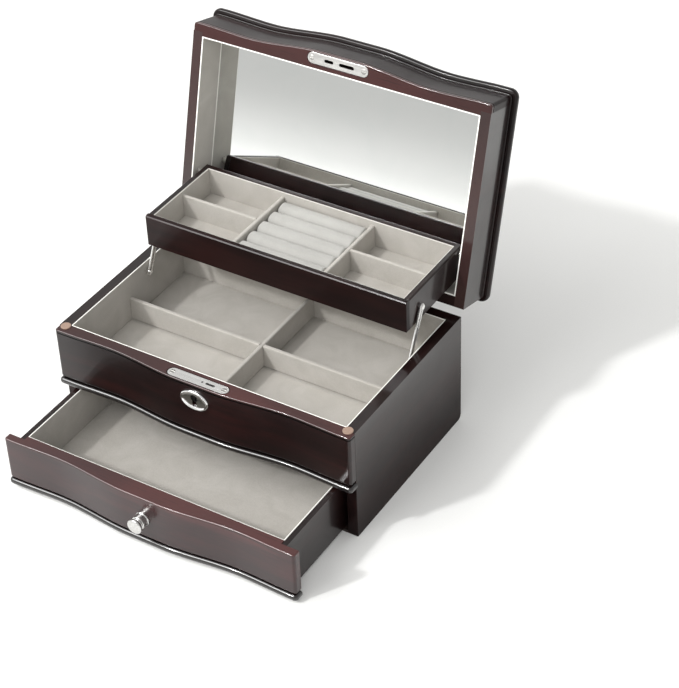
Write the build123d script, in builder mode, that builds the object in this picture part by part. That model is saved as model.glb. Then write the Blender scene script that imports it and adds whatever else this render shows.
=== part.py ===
from build123d import *
import os
from math import cos, pi, radians, sin

# Jewelry box: a lacquered wooden case with a lined upper compartment, a hinged
# mirror lid, a tray that rises on a parallelogram linkage with the lid, a lock
# and a front drawer. Millimetres. X is to the right, Y to the back, Z up. The
# origin is the centre of the case's footprint, on the surface it stands on.
# The lid stands fully open, the tray is raised and the drawer is part out.

# ---- driving dimensions -------------------------------------------------
WIDTH = 280.0            # case and lid, outside
DEPTH = 174.0
CASE_H = 106.0           # floor to the top of the case rim
SIDE_T = 9.0             # side and back boards
FRONT_T = 10.8           # front boards between the sides
END_T = 7.2              # front boards where they lap the sides
LINING_T = 1.0           # suede-covered card on the inner walls
WAVE_OUT = 4.0           # how far the serpentine front swells at the middle
WAVE_DIP = -1.5          # and how far it dips either side of the swell
SHELF_Z = 54.0           # underside of the shelf between drawer and case
SHELF_T = 6.0
PAD_T = 4.0              # padded floors of case and drawer
BEAD_Z = 51.0            # underside of the case front bead
BEAD_H = 5.5
BASE_T = 2.5             # bottom board, let in flush with the side boards
DIVIDER_T = 3.6
DIVIDER_TOP = 84.5
CROSS_X = 2.5            # cross divider of the case

LID_GAP = 1.0            # the bumper pads hold the closed lid off the case rim
LID_RAIL_H = 31.0
LID_TOP_T = 9.0
LID_OVERHANG = 4.8
MIRROR_T = 2.2
LID_OPEN = 105.0         # degrees from closed
HINGE_Y = DEPTH / 2 + 3.3
HINGE_Z = CASE_H + 1.4
HINGE_X = 76.0           # centre of each butt hinge
HINGE_L = 38.0

TRAY_W = 250.0
TRAY_D = 90.8
TRAY_H = 29.0
TRAY_Y = 25.5            # front face of the raised tray
TRAY_Z = 125.6           # its underside
TRAY_WALL = 4.6
TRAY_FLOOR_T = 2.4
TRAY_DIVIDER_H = 23.2    # above the tray's underside
TRAY_CROSS_X = 44.0
LINK_Y, LINK_Z = 20.4, 41.5     # from a lower pivot up to its tray pivot
LINK_PIVOT_Y, LINK_PIVOT_Z = 26.0, 96.6
LINK_X = 126.3           # inner face of the left and right links
LINK_T = 1.2
PIN_R = 1.4
RUN = 0.05               # running clearance of a pin in its hole
ROLL_COUNT = 5

DRAWER_OUT = 79.4        # how far the drawer stands out
DRAWER_W = 276.0
DRAWER_Z = 2.9
DRAWER_TOP = 50.0
DRAWER_BOX_W = 253.6
DRAWER_SIDE_T = 4.6
DRAWER_FRONT_T = 11.3
DRAWER_BEAD_H = 5.5
DRAWER_FLOOR_Z = 5.4
DRAWER_FLOOR_T = 3.0

LOCK_Y = -84.6
LOCK_PLATE = (57.0, 9.4, 1.2)
KEY_Z = 91.0
BOLT_X = 11.5

# ---- places worked out from them ------------------------------------------
FRONT_Y = -DEPTH / 2
BACK_Y = DEPTH / 2
HALF = WIDTH / 2
INNER_X = HALF - SIDE_T
INNER_FRONT = FRONT_Y + FRONT_T
INNER_BACK = BACK_Y - SIDE_T
LIP_Y = FRONT_Y + END_T
LINED_X = INNER_X - LINING_T
LINED_FRONT = INNER_FRONT + LINING_T
LINED_BACK = INNER_BACK - LINING_T
SHELF_TOP = SHELF_Z + SHELF_T
LID_Z = CASE_H + LID_GAP
LID_TOP_Z = LID_Z + LID_RAIL_H
TRAY_BACK = TRAY_Y + TRAY_D
TRAY_TOP = TRAY_Z + TRAY_H
TRAY_MID_Y = TRAY_Y + TRAY_D / 2
TRAY_HALF = TRAY_W / 2
TRAY_PIN_Y = LINK_PIVOT_Y + LINK_Y
TRAY_PIN_Z = LINK_PIVOT_Z + LINK_Z
LID_PIN_Y = HINGE_Y + LINK_Y
LID_PIN_Z = HINGE_Z + LINK_Z
DRAWER_Y = FRONT_Y - DRAWER_OUT
DRAWER_BACK = INNER_BACK - 2.0 - DRAWER_OUT
DRAWER_INNER_X = DRAWER_BOX_W / 2 - DRAWER_SIDE_T
SIDES = (("left", -1), ("right", 1))

# The lid is drawn where it lies when closed, on a plane that is turned with
# it about the hinge line to where it stands open.
turn = radians(LID_OPEN)
LID_FRAME = Plane(
    origin=(
        0,
        HINGE_Y - HINGE_Y * cos(turn) - HINGE_Z * sin(turn),
        HINGE_Z + HINGE_Y * sin(turn) - HINGE_Z * cos(turn),
    ),
    x_dir=(1, 0, 0),
    z_dir=(0, sin(turn), cos(turn)),
)


def smooth(t):
    """0 to 1 with level ends."""
    t = min(max(t, 0.0), 1.0)
    return t * t * (3 - 2 * t)


def wave(x):
    """How far the serpentine front stands out at x: a swell in the middle
    that falls to a dip, which rises to nothing at the ends."""
    s = abs(x) / 134.0
    fall = smooth((s - 0.12) / 0.52)
    rise = smooth((s - 0.64) / 0.36)
    return WAVE_OUT + (WAVE_DIP - WAVE_OUT) * fall - WAVE_DIP * rise


def front_board(half, front, back, corner, lap=None):
    """Plan of a serpentine front board with rounded front corners. With a
    lap, (half width, back), the middle is thicker between the sides."""
    count = 16
    run = [-134.0 + 268.0 * i / count for i in range(count + 1)]
    with BuildSketch() as plan:
        with BuildLine():
            crest = Spline([(x, front - wave(x)) for x in run], tangents=((1, 0), (1, 0)))
            Line((-half + corner, front), crest @ 0)
            Line(crest @ 1, (half - corner, front))
            RadiusArc((half - corner, front), (half, front + corner), -corner)
            RadiusArc((-half, front + corner), (-half + corner, front), -corner)
            if lap:
                Polyline(
                    (half, front + corner), (half, back), (lap[0], back), (lap[0], lap[1]),
                    (-lap[0], lap[1]), (-lap[0], back), (-half, back), (-half, front + corner),
                )
            else:
                Polyline((half, front + corner), (half, back), (-half, back), (-half, front + corner))
        make_face()
    return plan.sketch


def overhang_plan(out, corner):
    """Plan of the lid top: serpentine in front, square behind, rounded."""
    half = HALF + out
    front = FRONT_Y - out
    back = BACK_Y + out
    count = 16
    run = [-134.0 + 268.0 * i / count for i in range(count + 1)]
    with BuildSketch() as plan:
        with BuildLine():
            crest = Spline([(x, front - wave(x)) for x in run], tangents=((1, 0), (1, 0)))
            Line((-half + corner, front), crest @ 0)
            Line(crest @ 1, (half - corner, front))
            RadiusArc((half - corner, front), (half, front + corner), -corner)
            Line((half, front + corner), (half, back - corner))
            RadiusArc((half, back - corner), (half - corner, back), -corner)
            Line((half - corner, back), (-half + corner, back))
            RadiusArc((-half + corner, back), (-half, back - corner), -corner)
            Line((-half, back - corner), (-half, front + corner))
            RadiusArc((-half, front + corner), (-half + corner, front), -corner)
        make_face()
    return plan.sketch


def ring_plan(x_out, y_front, y_back, thick):
    """Plan of a lining that goes round the four inner walls."""
    with BuildSketch() as plan:
        with Locations((0, (y_front + y_back) / 2)):
            Rectangle(2 * x_out, y_back - y_front)
            Rectangle(2 * (x_out - thick), y_back - y_front - 2 * thick, mode=Mode.SUBTRACT)
    return plan.sketch


def save(part, label):
    part.label = label
    export_step(part, f"parts/{label}.step")


# ==== case ===================================================================
# Side boards: plain lacquered boards, their rear foot rounded.
for side, sign in SIDES:
    with BuildPart() as side_panel:
        with BuildSketch(Plane.YZ.offset(INNER_X if sign > 0 else -HALF)):
            with BuildLine():
                foot = 5.0
                Polyline(
                    (BACK_Y, foot), (BACK_Y, CASE_H), (LIP_Y, CASE_H), (LIP_Y, 0), (BACK_Y - foot, 0),
                )
                RadiusArc((BACK_Y - foot, 0), (BACK_Y, foot), -foot)
            make_face()
        extrude(amount=SIDE_T)
        fillet(side_panel.edges().filter_by(Axis.Z).sort_by(Axis.X)[0 if sign < 0 else -1:][:1], 0.6)
        # pilot hole of the tray link's lower rivet
        with BuildSketch(Plane.YZ.offset(sign * INNER_X)):
            with Locations((LINK_PIVOT_Y, LINK_PIVOT_Z)):
                Circle(PIN_R + RUN)
        extrude(amount=sign * 5.5, mode=Mode.SUBTRACT)
    save(side_panel.part, f"{side}_side_panel")

# Back board between the sides, with a mortise for each hinge leaf.
LEAF_T = 1.0
LEAF_FRONT = BACK_Y - 7.5
SCREW_R = 1.0
HINGE_SCREWS = [(sign * HINGE_X + dx, BACK_Y - 3.8) for sign in (-1, 1) for dx in (-13.5, 0, 13.5)]
with BuildPart() as back_panel:
    with BuildSketch():
        with Locations((0, BACK_Y - SIDE_T / 2)):
            Rectangle(2 * INNER_X, SIDE_T)
    extrude(amount=CASE_H)
    with BuildSketch(Plane.XY.offset(CASE_H - LEAF_T)):
        with Locations((-HINGE_X, BACK_Y - 3.5), (HINGE_X, BACK_Y - 3.5)):
            Rectangle(HINGE_L + 0.2, 8.2)
    extrude(amount=LEAF_T, mode=Mode.SUBTRACT)
    with BuildSketch(Plane.XY.offset(CASE_H - 8.2)):
        with Locations(*HINGE_SCREWS):
            Circle(SCREW_R + RUN)
    extrude(amount=8.2, mode=Mode.SUBTRACT)
save(back_panel.part, "back_panel")

# Serpentine front board: laps the side boards and rolls in above its bead. A
# mortise from above takes the lock, a bore from the front takes the key.
FACE_Z = BEAD_Z + BEAD_H
LOCK_BODY = (40.0, 6.6, 24.0)
with BuildPart() as front_panel:
    with BuildSketch(Plane.XY.offset(FACE_Z)):
        add(front_board(HALF, FRONT_Y, LIP_Y, 2.6, lap=(INNER_X, INNER_FRONT)))
    extrude(amount=CASE_H - FACE_Z)
    fillet(front_panel.faces().sort_by(Axis.Z)[0].edges().filter_by(
        lambda e: e.center().Y < FRONT_Y + 0.5), 3.6)
    fillet(front_panel.faces().sort_by(Axis.Z)[-1].edges().filter_by(
        lambda e: e.center().Y < FRONT_Y + 0.5), 0.7)
    with BuildSketch(Plane.XY.offset(CASE_H)):
        with Locations((0, LOCK_Y)):
            SlotOverall(LOCK_PLATE[0] + 0.1, LOCK_PLATE[1] + 0.1)
    extrude(amount=-LOCK_PLATE[2], mode=Mode.SUBTRACT)
    with BuildSketch(Plane.XY.offset(CASE_H)):
        with Locations((0, LOCK_Y)):
            Rectangle(LOCK_BODY[0] + 0.1, LOCK_BODY[1] + 0.1)
    extrude(amount=-LOCK_PLATE[2] - LOCK_BODY[2] - 0.1, mode=Mode.SUBTRACT)
    with BuildSketch(Plane.XY.offset(CASE_H)):
        with Locations((-24.4, LOCK_Y), (24.4, LOCK_Y)):
            Circle(SCREW_R + RUN)
    extrude(amount=-9.0, mode=Mode.SUBTRACT)
    with BuildSketch(Plane.XZ.offset(-LOCK_Y)):
        with Locations((0, KEY_Z)):
            Circle(4.6)
    extrude(amount=12.0, mode=Mode.SUBTRACT)
save(front_panel.part, "front_panel")


def bead_strip(z, height, half, front, back, lap):
    """A half-round bead under a serpentine front, with rounded nose and ends."""
    with BuildPart() as strip:
        with BuildSketch(Plane.XY.offset(z)):
            add(front_board(half, front, back, 3.4, lap=lap))
        extrude(amount=height)
        nose = strip.edges().filter_by(lambda e: e.center().Y < front + 1.2 and abs(e.tangent_at(0.5).Z) < 0.1)
        fillet(nose, 0.42 * height)
    return strip.part


save(
    bead_strip(BEAD_Z, BEAD_H, HALF + 1.2, FRONT_Y - 2.0, LIP_Y, (INNER_X, INNER_FRONT)),
    "front_bead",
)

# Shelf between the drawer bay and the lined compartment above it.
with BuildPart() as shelf_board:
    with BuildSketch(Plane.XY.offset(SHELF_Z)):
        with Locations((0, (INNER_FRONT + INNER_BACK) / 2)):
            Rectangle(2 * INNER_X, INNER_BACK - INNER_FRONT)
    extrude(amount=SHELF_T)
save(shelf_board.part, "shelf_board")

# Bottom board; its underside is the face that the box stands on.
with BuildPart() as bottom_board:
    with BuildSketch():
        with Locations((0, (LIP_Y + INNER_BACK) / 2)):
            Rectangle(2 * INNER_X, INNER_BACK - LIP_Y)
    extrude(amount=BASE_T)
save(bottom_board.part, "bottom_board")

# Two strips that guide the drawer between the side boards.
GUIDE_T = INNER_X - DRAWER_BOX_W / 2 - 0.6
with BuildPart() as drawer_guides:
    with BuildSketch(Plane.XY.offset(BASE_T)):
        for sign in (-1, 1):
            with Locations((sign * (INNER_X - GUIDE_T / 2), 2.0)):
                Rectangle(GUIDE_T, 140.0)
    extrude(amount=16.0)
save(drawer_guides.part, "drawer_guides")

# Suede-covered card round the inner walls, flush with the rim.
with BuildPart() as case_wall_lining:
    with BuildSketch(Plane.XY.offset(SHELF_TOP)):
        add(ring_plan(INNER_X, INNER_FRONT, INNER_BACK, LINING_T))
    extrude(amount=CASE_H - SHELF_TOP)
    fillet(case_wall_lining.faces().sort_by(Axis.Z)[-1].edges(), 0.35)
    for sign in (-1, 1):
        with BuildSketch(Plane.YZ.offset(sign * (LINED_X - 0.5))):
            with Locations((LINK_PIVOT_Y, LINK_PIVOT_Z)):
                Circle(PIN_R + RUN)
        extrude(amount=sign * 2.5, mode=Mode.SUBTRACT)
save(case_wall_lining.part, "case_wall_lining")

# Padded floor of the compartment.
PAD_GAP = 0.3
with BuildPart() as case_floor_pad:
    with BuildSketch(Plane.XY.offset(SHELF_TOP)):
        with Locations((0, (LINED_FRONT + LINED_BACK) / 2)):
            Rectangle(2 * (LINED_X - PAD_GAP), LINED_BACK - LINED_FRONT - 2 * PAD_GAP)
    extrude(amount=PAD_T)
    fillet(case_floor_pad.faces().sort_by(Axis.Z)[-1].edges(), 1.2)
save(case_floor_pad.part, "case_floor_pad")

# Suede-covered dividers, halved over each other where they cross.
PAD_TOP = SHELF_TOP + PAD_T
HALF_LAP_Z = (PAD_TOP + DIVIDER_TOP) / 2
MID_Y = (LINED_FRONT + LINED_BACK) / 2
with BuildPart() as case_long_divider:
    with BuildSketch(Plane.XY.offset(PAD_TOP)):
        with Locations((0, MID_Y)):
            Rectangle(2 * (LINED_X - 0.1), DIVIDER_T)
    extrude(amount=DIVIDER_TOP - PAD_TOP)
    fillet(case_long_divider.faces().sort_by(Axis.Z)[-1].edges().filter_by(Axis.X), 1.2)
    with BuildSketch(Plane.XY.offset(HALF_LAP_Z)):
        with Locations((CROSS_X, MID_Y)):
            Rectangle(DIVIDER_T + 0.2, DIVIDER_T * 2)
    extrude(amount=DIVIDER_TOP, mode=Mode.SUBTRACT)
save(case_long_divider.part, "case_long_divider")

with BuildPart() as case_cross_divider:
    with BuildSketch(Plane.XY.offset(PAD_TOP)):
        with Locations((CROSS_X, MID_Y)):
            Rectangle(DIVIDER_T, LINED_BACK - LINED_FRONT - 0.2)
    extrude(amount=DIVIDER_TOP - PAD_TOP)
    fillet(case_cross_divider.faces().sort_by(Axis.Z)[-1].edges().filter_by(Axis.Y), 1.2)
    with BuildSketch(Plane.XY.offset(PAD_TOP)):
        with Locations((CROSS_X, MID_Y)):
            Rectangle(DIVIDER_T * 2, DIVIDER_T + 0.2)
    extrude(amount=HALF_LAP_Z - PAD_TOP, mode=Mode.SUBTRACT)
save(case_cross_divider.part, "case_cross_divider")

# Two round bumper pads on the front corners of the rim.
with BuildPart() as bumper_pads:
    with BuildSketch(Plane.XY.offset(CASE_H)):
        with Locations((-134.0, FRONT_Y + 7.8), (134.0, FRONT_Y + 7.8)):
            Circle(4.3)
    extrude(amount=0.9)
    fillet(bumper_pads.faces().sort_by(Axis.Z)[-2:].edges(), 0.35)
save(bumper_pads.part, "bumper_pads")

# ---- butt hinges ------------------------------------------------------------
BARREL_R = 2.3
KNUCKLE = HINGE_L / 3
HINGE_PIN_R = 1.1


def hinge_leaves(frame, leaf_z, own, other):
    """Two leaves on a frame: a plate let into the rim and its knuckles round
    the hinge line. own and other are knuckle places along the leaf."""
    with BuildPart() as leaves:
        for sign in (-1, 1):
            with BuildSketch(frame.offset(leaf_z)):
                with Locations((sign * HINGE_X, (LEAF_FRONT + BACK_Y + 0.4) / 2)):
                    Rectangle(HINGE_L, BACK_Y + 0.4 - LEAF_FRONT)
                for place in own:
                    with Locations((sign * HINGE_X + place * KNUCKLE, (BACK_Y + HINGE_Y) / 2)):
                        Rectangle(KNUCKLE - 0.3, HINGE_Y - BACK_Y)
            extrude(amount=LEAF_T)
            for place in own:
                start = sign * HINGE_X + place * KNUCKLE - (KNUCKLE - 0.3) / 2
                side_plane = Plane(
                    origin=frame.from_local_coords((start, HINGE_Y, HINGE_Z)),
                    x_dir=frame.y_dir, z_dir=frame.x_dir,
                )
                with BuildSketch(side_plane):
                    Circle(BARREL_R)
                extrude(amount=KNUCKLE - 0.3)
            through = Plane(
                origin=frame.from_local_coords((sign * HINGE_X - HINGE_L / 2 - 1, HINGE_Y, HINGE_Z)),
                x_dir=frame.y_dir, z_dir=frame.x_dir,
            )
            with BuildSketch(through):
                Circle(HINGE_PIN_R + RUN)
            extrude(amount=HINGE_L + 2, mode=Mode.SUBTRACT)
        with BuildSketch(frame.offset(leaf_z)):
            with Locations(*HINGE_SCREWS):
                Circle(SCREW_R + 0.1)
        extrude(amount=LEAF_T, mode=Mode.SUBTRACT)
    return leaves.part


save(hinge_leaves(Plane.XY, CASE_H - LEAF_T, (0,), (-1, 1)), "hinge_case_leaves")
save(hinge_leaves(LID_FRAME, LID_Z, (-1, 1), (0,)), "hinge_lid_leaves")

with BuildPart() as hinge_pins:
    for sign in (-1, 1):
        with BuildSketch(Plane(origin=(sign * HINGE_X - HINGE_L / 2 - 0.6, HINGE_Y, HINGE_Z),
                               x_dir=(0, 1, 0), z_dir=(1, 0, 0))):
            Circle(HINGE_PIN_R)
        extrude(amount=HINGE_L + 1.2)
save(hinge_pins.part, "hinge_pins")


def screw_group(frame, places, head_z, length, up):
    """Small screws: a thin round head on the plate and a shank in the wood."""
    way = 1 if up else -1
    with BuildPart() as screws:
        with BuildSketch(frame.offset(head_z)):
            with Locations(*places):
                Circle(SCREW_R)
        extrude(amount=-way * length)
        with BuildSketch(frame.offset(head_z)):
            with Locations(*places):
                Circle(1.9)
        extrude(amount=way * 0.35)
    return screws.part


save(screw_group(Plane.XY, HINGE_SCREWS, CASE_H, 8.0, True), "hinge_case_screws")
save(screw_group(LID_FRAME, HINGE_SCREWS, LID_Z, 8.0, False), "hinge_lid_screws")

# ---- lock ---------------------------------------------------------------------
LOCK_TOP = CASE_H - LOCK_PLATE[2]
CAM_R = 3.3
BOLT = (6.0, 1.6)
BOLT_SHAFT_Z = KEY_Z + 4.5
with BuildPart() as lock_body:
    with BuildSketch(Plane.XY.offset(LOCK_TOP)):
        with Locations((0, LOCK_Y)):
            Rectangle(LOCK_BODY[0], LOCK_BODY[1])
    extrude(amount=-LOCK_BODY[2])
    with BuildSketch(Plane.XY.offset(LOCK_TOP)):
        with Locations((BOLT_X, LOCK_Y)):
            Rectangle(BOLT[0] + 0.4, BOLT[1] + 0.4)
    extrude(amount=-22.0, mode=Mode.SUBTRACT)
    with BuildSketch(Plane.XZ.offset(-LOCK_Y - 1.0)):
        with Locations((0, KEY_Z)):
            Circle(CAM_R + RUN)
    extrude(amount=5.0, mode=Mode.SUBTRACT)
save(lock_body.part, "lock_body")

with BuildPart() as lock_top_plate:
    with BuildSketch(Plane.XY.offset(LOCK_TOP)):
        with Locations((0, LOCK_Y)):
            SlotOverall(LOCK_PLATE[0], LOCK_PLATE[1])
        with Locations((BOLT_X, LOCK_Y)):
            SlotOverall(8.6, 2.2, mode=Mode.SUBTRACT)
        with Locations((4.0, LOCK_Y)):
            Circle(0.9, mode=Mode.SUBTRACT)
        with Locations((-24.4, LOCK_Y), (24.4, LOCK_Y)):
            Circle(SCREW_R + 0.1, mode=Mode.SUBTRACT)
    extrude(amount=LOCK_PLATE[2])
    fillet(lock_top_plate.faces().sort_by(Axis.Z)[-1].edges().sort_by(Edge.length)[-2:], 0.3)
save(lock_top_plate.part, "lock_top_plate")

save(
    screw_group(Plane.XY, [(-24.4, LOCK_Y), (24.4, LOCK_Y)], CASE_H, 8.5, True),
    "lock_plate_screws",
)

# The bolt is a flat tongue that rises out of the plate into the lid.
with BuildPart() as lock_bolt:
    with BuildSketch(Plane.XY.offset(CASE_H - 21.0)):
        with Locations((BOLT_X, LOCK_Y)):
            Rectangle(*BOLT)
    extrude(amount=20.6)
    fillet(lock_bolt.faces().sort_by(Axis.Z)[-1].edges().filter_by(Axis.Y), 1.2)
save(lock_bolt.part, "lock_bolt")

# The barrel that the key turns, with its key slot.
with BuildPart() as lock_barrel:
    with BuildSketch(Plane.XZ.offset(-LOCK_Y - 0.9)):
        with Locations((0, KEY_Z)):
            Circle(CAM_R)
    extrude(amount=6.3)
    with BuildSketch(Plane.XZ.offset(-LOCK_Y + 5.4)):
        with Locations((0, KEY_Z)):
            SlotOverall(4.6, 1.5, rotation=90)
    extrude(amount=-4.0, mode=Mode.SUBTRACT)
save(lock_barrel.part, "lock_barrel")

# Oval dished escutcheon on the front board.
ESCUTCHEON = (26.5, 18.6)
SEAT_GAP = 0.06          # a film of lacquer between a fitting and the curved front
ESCUTCHEON_Y = FRONT_Y - WAVE_OUT - SEAT_GAP
with BuildPart() as escutcheon:
    with BuildSketch(Plane.XZ.offset(-ESCUTCHEON_Y)):
        with Locations((0, KEY_Z)):
            Ellipse(ESCUTCHEON[0] / 2, ESCUTCHEON[1] / 2)
    extrude(amount=1.9)
    fillet(escutcheon.faces().sort_by(Axis.Y)[0].edges(), 0.8)
    with BuildSketch(Plane.XZ.offset(-ESCUTCHEON_Y + 1.9)):
        with Locations((0, KEY_Z)):
            Ellipse(ESCUTCHEON[0] / 2 - 2.2, ESCUTCHEON[1] / 2 - 2.2)
    extrude(amount=-1.1, mode=Mode.SUBTRACT)
    with BuildSketch(Plane.XZ.offset(-ESCUTCHEON_Y)):
        with Locations((0, KEY_Z)):
            SlotOverall(8.6, 4.2, rotation=90)
    extrude(amount=2.5, mode=Mode.SUBTRACT)
save(escutcheon.part, "escutcheon")

# ==== lid ======================================================================
# Four rails like the case's upper part. The front one has a quirk above a bead
# along its rim and takes the strike plate.
BEAD_RIM = 3.2
QUIRK = 0.7
with BuildPart() as lid_front_rail:
    with BuildSketch(LID_FRAME.offset(LID_Z)):
        add(front_board(HALF, FRONT_Y, LIP_Y, 2.6, lap=(INNER_X, INNER_FRONT)))
    extrude(amount=BEAD_RIM)
    with BuildSketch(LID_FRAME.offset(LID_Z + BEAD_RIM)):
        add(front_board(HALF - QUIRK, FRONT_Y + QUIRK, LIP_Y, 2.6, lap=(INNER_X, INNER_FRONT)))
    extrude(amount=QUIRK)
    with BuildSketch(LID_FRAME.offset(LID_Z + BEAD_RIM + QUIRK)):
        add(front_board(HALF, FRONT_Y, LIP_Y, 2.6, lap=(INNER_X, INNER_FRONT)))
    extrude(amount=LID_RAIL_H - BEAD_RIM - QUIRK)
    # mortise for the strike plate, and the pocket the bolt rises into
    with BuildSketch(LID_FRAME.offset(LID_Z)):
        with Locations((0, LOCK_Y)):
            SlotOverall(LOCK_PLATE[0] + 0.1, LOCK_PLATE[1] + 0.1)
    extrude(amount=LOCK_PLATE[2], mode=Mode.SUBTRACT)
    with BuildSketch(LID_FRAME.offset(LID_Z)):
        with Locations((0.5, LOCK_Y)):
            Rectangle(31.0, 4.4)
    extrude(amount=10.0, mode=Mode.SUBTRACT)
    with BuildSketch(LID_FRAME.offset(LID_Z)):
        with Locations((-24.4, LOCK_Y), (24.4, LOCK_Y)):
            Circle(SCREW_R + RUN)
    extrude(amount=9.0, mode=Mode.SUBTRACT)
save(lid_front_rail.part, "lid_front_rail")

with BuildPart() as lid_back_rail:
    with BuildSketch(LID_FRAME.offset(LID_Z)):
        with Locations((0, BACK_Y - SIDE_T / 2)):
            Rectangle(2 * INNER_X, SIDE_T)
    extrude(amount=LID_RAIL_H)
    with BuildSketch(LID_FRAME.offset(LID_Z)):
        with Locations((-HINGE_X, BACK_Y - 3.5), (HINGE_X, BACK_Y - 3.5)):
            Rectangle(HINGE_L + 0.2, 8.2)
    extrude(amount=LEAF_T, mode=Mode.SUBTRACT)
    with BuildSketch(LID_FRAME.offset(LID_Z)):
        with Locations(*HINGE_SCREWS):
            Circle(SCREW_R + RUN)
    extrude(amount=8.2, mode=Mode.SUBTRACT)
save(lid_back_rail.part, "lid_back_rail")

for side, sign in SIDES:
    with BuildPart() as lid_side:
        with BuildSketch(LID_FRAME.offset(LID_Z)):
            with Locations((sign * (HALF - SIDE_T / 2), (LIP_Y + BACK_Y) / 2)):
                Rectangle(SIDE_T, BACK_Y - LIP_Y)
        extrude(amount=LID_RAIL_H)
        with BuildSketch(Plane.YZ.offset(sign * INNER_X)):
            with Locations((LID_PIN_Y, LID_PIN_Z)):
                Circle(PIN_R + RUN)
        extrude(amount=sign * 5.5, mode=Mode.SUBTRACT)
    save(lid_side.part, f"lid_{side}_rail")

# Lid top: a rounded edge that overhangs all round, and below it a quirk, a
# fine fillet and a second quirk.
NOSE_Z = LID_TOP_Z + 2.9
with BuildPart() as lid_top_panel:
    with BuildSketch(LID_FRAME.offset(NOSE_Z)):
        add(overhang_plan(LID_OVERHANG, 7.5))
    extrude(amount=LID_TOP_Z + LID_TOP_T - NOSE_Z)
    board_faces = lid_top_panel.faces().sort_by(Axis(LID_FRAME.origin, LID_FRAME.z_dir))
    fillet(board_faces[-1].edges(), 2.8)
    fillet(lid_top_panel.faces().sort_by(Axis(LID_FRAME.origin, LID_FRAME.z_dir))[0].edges(), 2.0)
    for low, high, out, corner in ((0.0, 0.9, -0.8, 2.0), (0.9, 2.1, 1.0, 3.6), (2.1, 2.9, -0.3, 2.4)):
        with BuildSketch(LID_FRAME.offset(LID_TOP_Z + low)):
            add(overhang_plan(out, corner))
        extrude(amount=high - low)
save(lid_top_panel.part, "lid_top_panel")

with BuildPart() as lid_wall_lining:
    with BuildSketch(LID_FRAME.offset(LID_Z)):
        add(ring_plan(INNER_X, INNER_FRONT, INNER_BACK, LINING_T))
    extrude(amount=LID_RAIL_H - MIRROR_T)
    for sign in (-1, 1):
        with BuildSketch(Plane.YZ.offset(sign * (LINED_X - 0.5))):
            with Locations((LID_PIN_Y, LID_PIN_Z)):
                Circle(PIN_R + RUN)
        extrude(amount=sign * 2.5, mode=Mode.SUBTRACT)
save(lid_wall_lining.part, "lid_wall_lining")

with BuildPart() as lid_mirror:
    with BuildSketch(LID_FRAME.offset(LID_TOP_Z - MIRROR_T)):
        with Locations((0, (INNER_FRONT + INNER_BACK) / 2)):
            Rectangle(2 * INNER_X - 0.2, INNER_BACK - INNER_FRONT - 0.2)
    extrude(amount=MIRROR_T)
save(lid_mirror.part, "lid_mirror")

with BuildPart() as strike_plate:
    with BuildSketch(LID_FRAME.offset(LID_Z)):
        with Locations((0, LOCK_Y)):
            SlotOverall(LOCK_PLATE[0], LOCK_PLATE[1])
        with Locations((-8.3, LOCK_Y)):
            Rectangle(8.4, 2.6, mode=Mode.SUBTRACT)
        with Locations((8.3, LOCK_Y)):
            Rectangle(14.0, 2.8, mode=Mode.SUBTRACT)
        with Locations((-24.4, LOCK_Y), (24.4, LOCK_Y)):
            Circle(SCREW_R + 0.1, mode=Mode.SUBTRACT)
    extrude(amount=LOCK_PLATE[2])
save(strike_plate.part, "strike_plate")
save(
    screw_group(LID_FRAME, [(-24.4, LOCK_Y), (24.4, LOCK_Y)], LID_Z, 8.5, False),
    "strike_plate_screws",
)

# ==== tray linkage ===============================================================
# Shouldered pins in the lid's side rails that carry the back of the tray.
OPEN_PIVOT = 0.5         # free play of the tray's hole on the lid's pin


def pins(y, z, start, length, head_start, head_length, head_r):
    """A round pin on each side along X, with a wider head or shoulder."""
    with BuildPart() as pair:
        for sign in (-1, 1):
            with BuildSketch(Plane.YZ.offset(sign * start)):
                with Locations((y, z)):
                    Circle(PIN_R)
            extrude(amount=sign * length)
            with BuildSketch(Plane.YZ.offset(sign * head_start)):
                with Locations((y, z)):
                    Circle(head_r)
            extrude(amount=sign * head_length)
    return pair.part


save(pins(LID_PIN_Y, LID_PIN_Z, 121.6, 13.8, 125.6, LINED_X - 125.6, 3.0), "lid_tray_pins")
save(pins(LINK_PIVOT_Y, LINK_PIVOT_Z, 125.9, 9.6, 125.5, 0.6, 2.2), "link_case_rivets")
save(
    pins(TRAY_PIN_Y, TRAY_PIN_Z, 121.6, 7.0, LINK_X + LINK_T + 0.15, 0.7, 2.2),
    "link_tray_rivets",
)

# Nickelled strips with round ends: they hold the front of the tray.
link_length = (LINK_Y ** 2 + LINK_Z ** 2) ** 0.5
for side, sign in SIDES:
    along = Vector(0, LINK_Y, LINK_Z).normalized()
    strip_plane = Plane(
        origin=(sign * LINK_X, LINK_PIVOT_Y, LINK_PIVOT_Z), x_dir=along, z_dir=(1, 0, 0)
    )
    with BuildPart() as link:
        with BuildSketch(strip_plane):
            with Locations((link_length / 2, 0)):
                SlotCenterToCenter(link_length, 5.4)
            with Locations((0, 0), (link_length, 0)):
                Circle(3.0)
                Circle(PIN_R + RUN, mode=Mode.SUBTRACT)
        extrude(amount=sign * LINK_T)
    save(link.part, f"{side}_tray_link")

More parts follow.
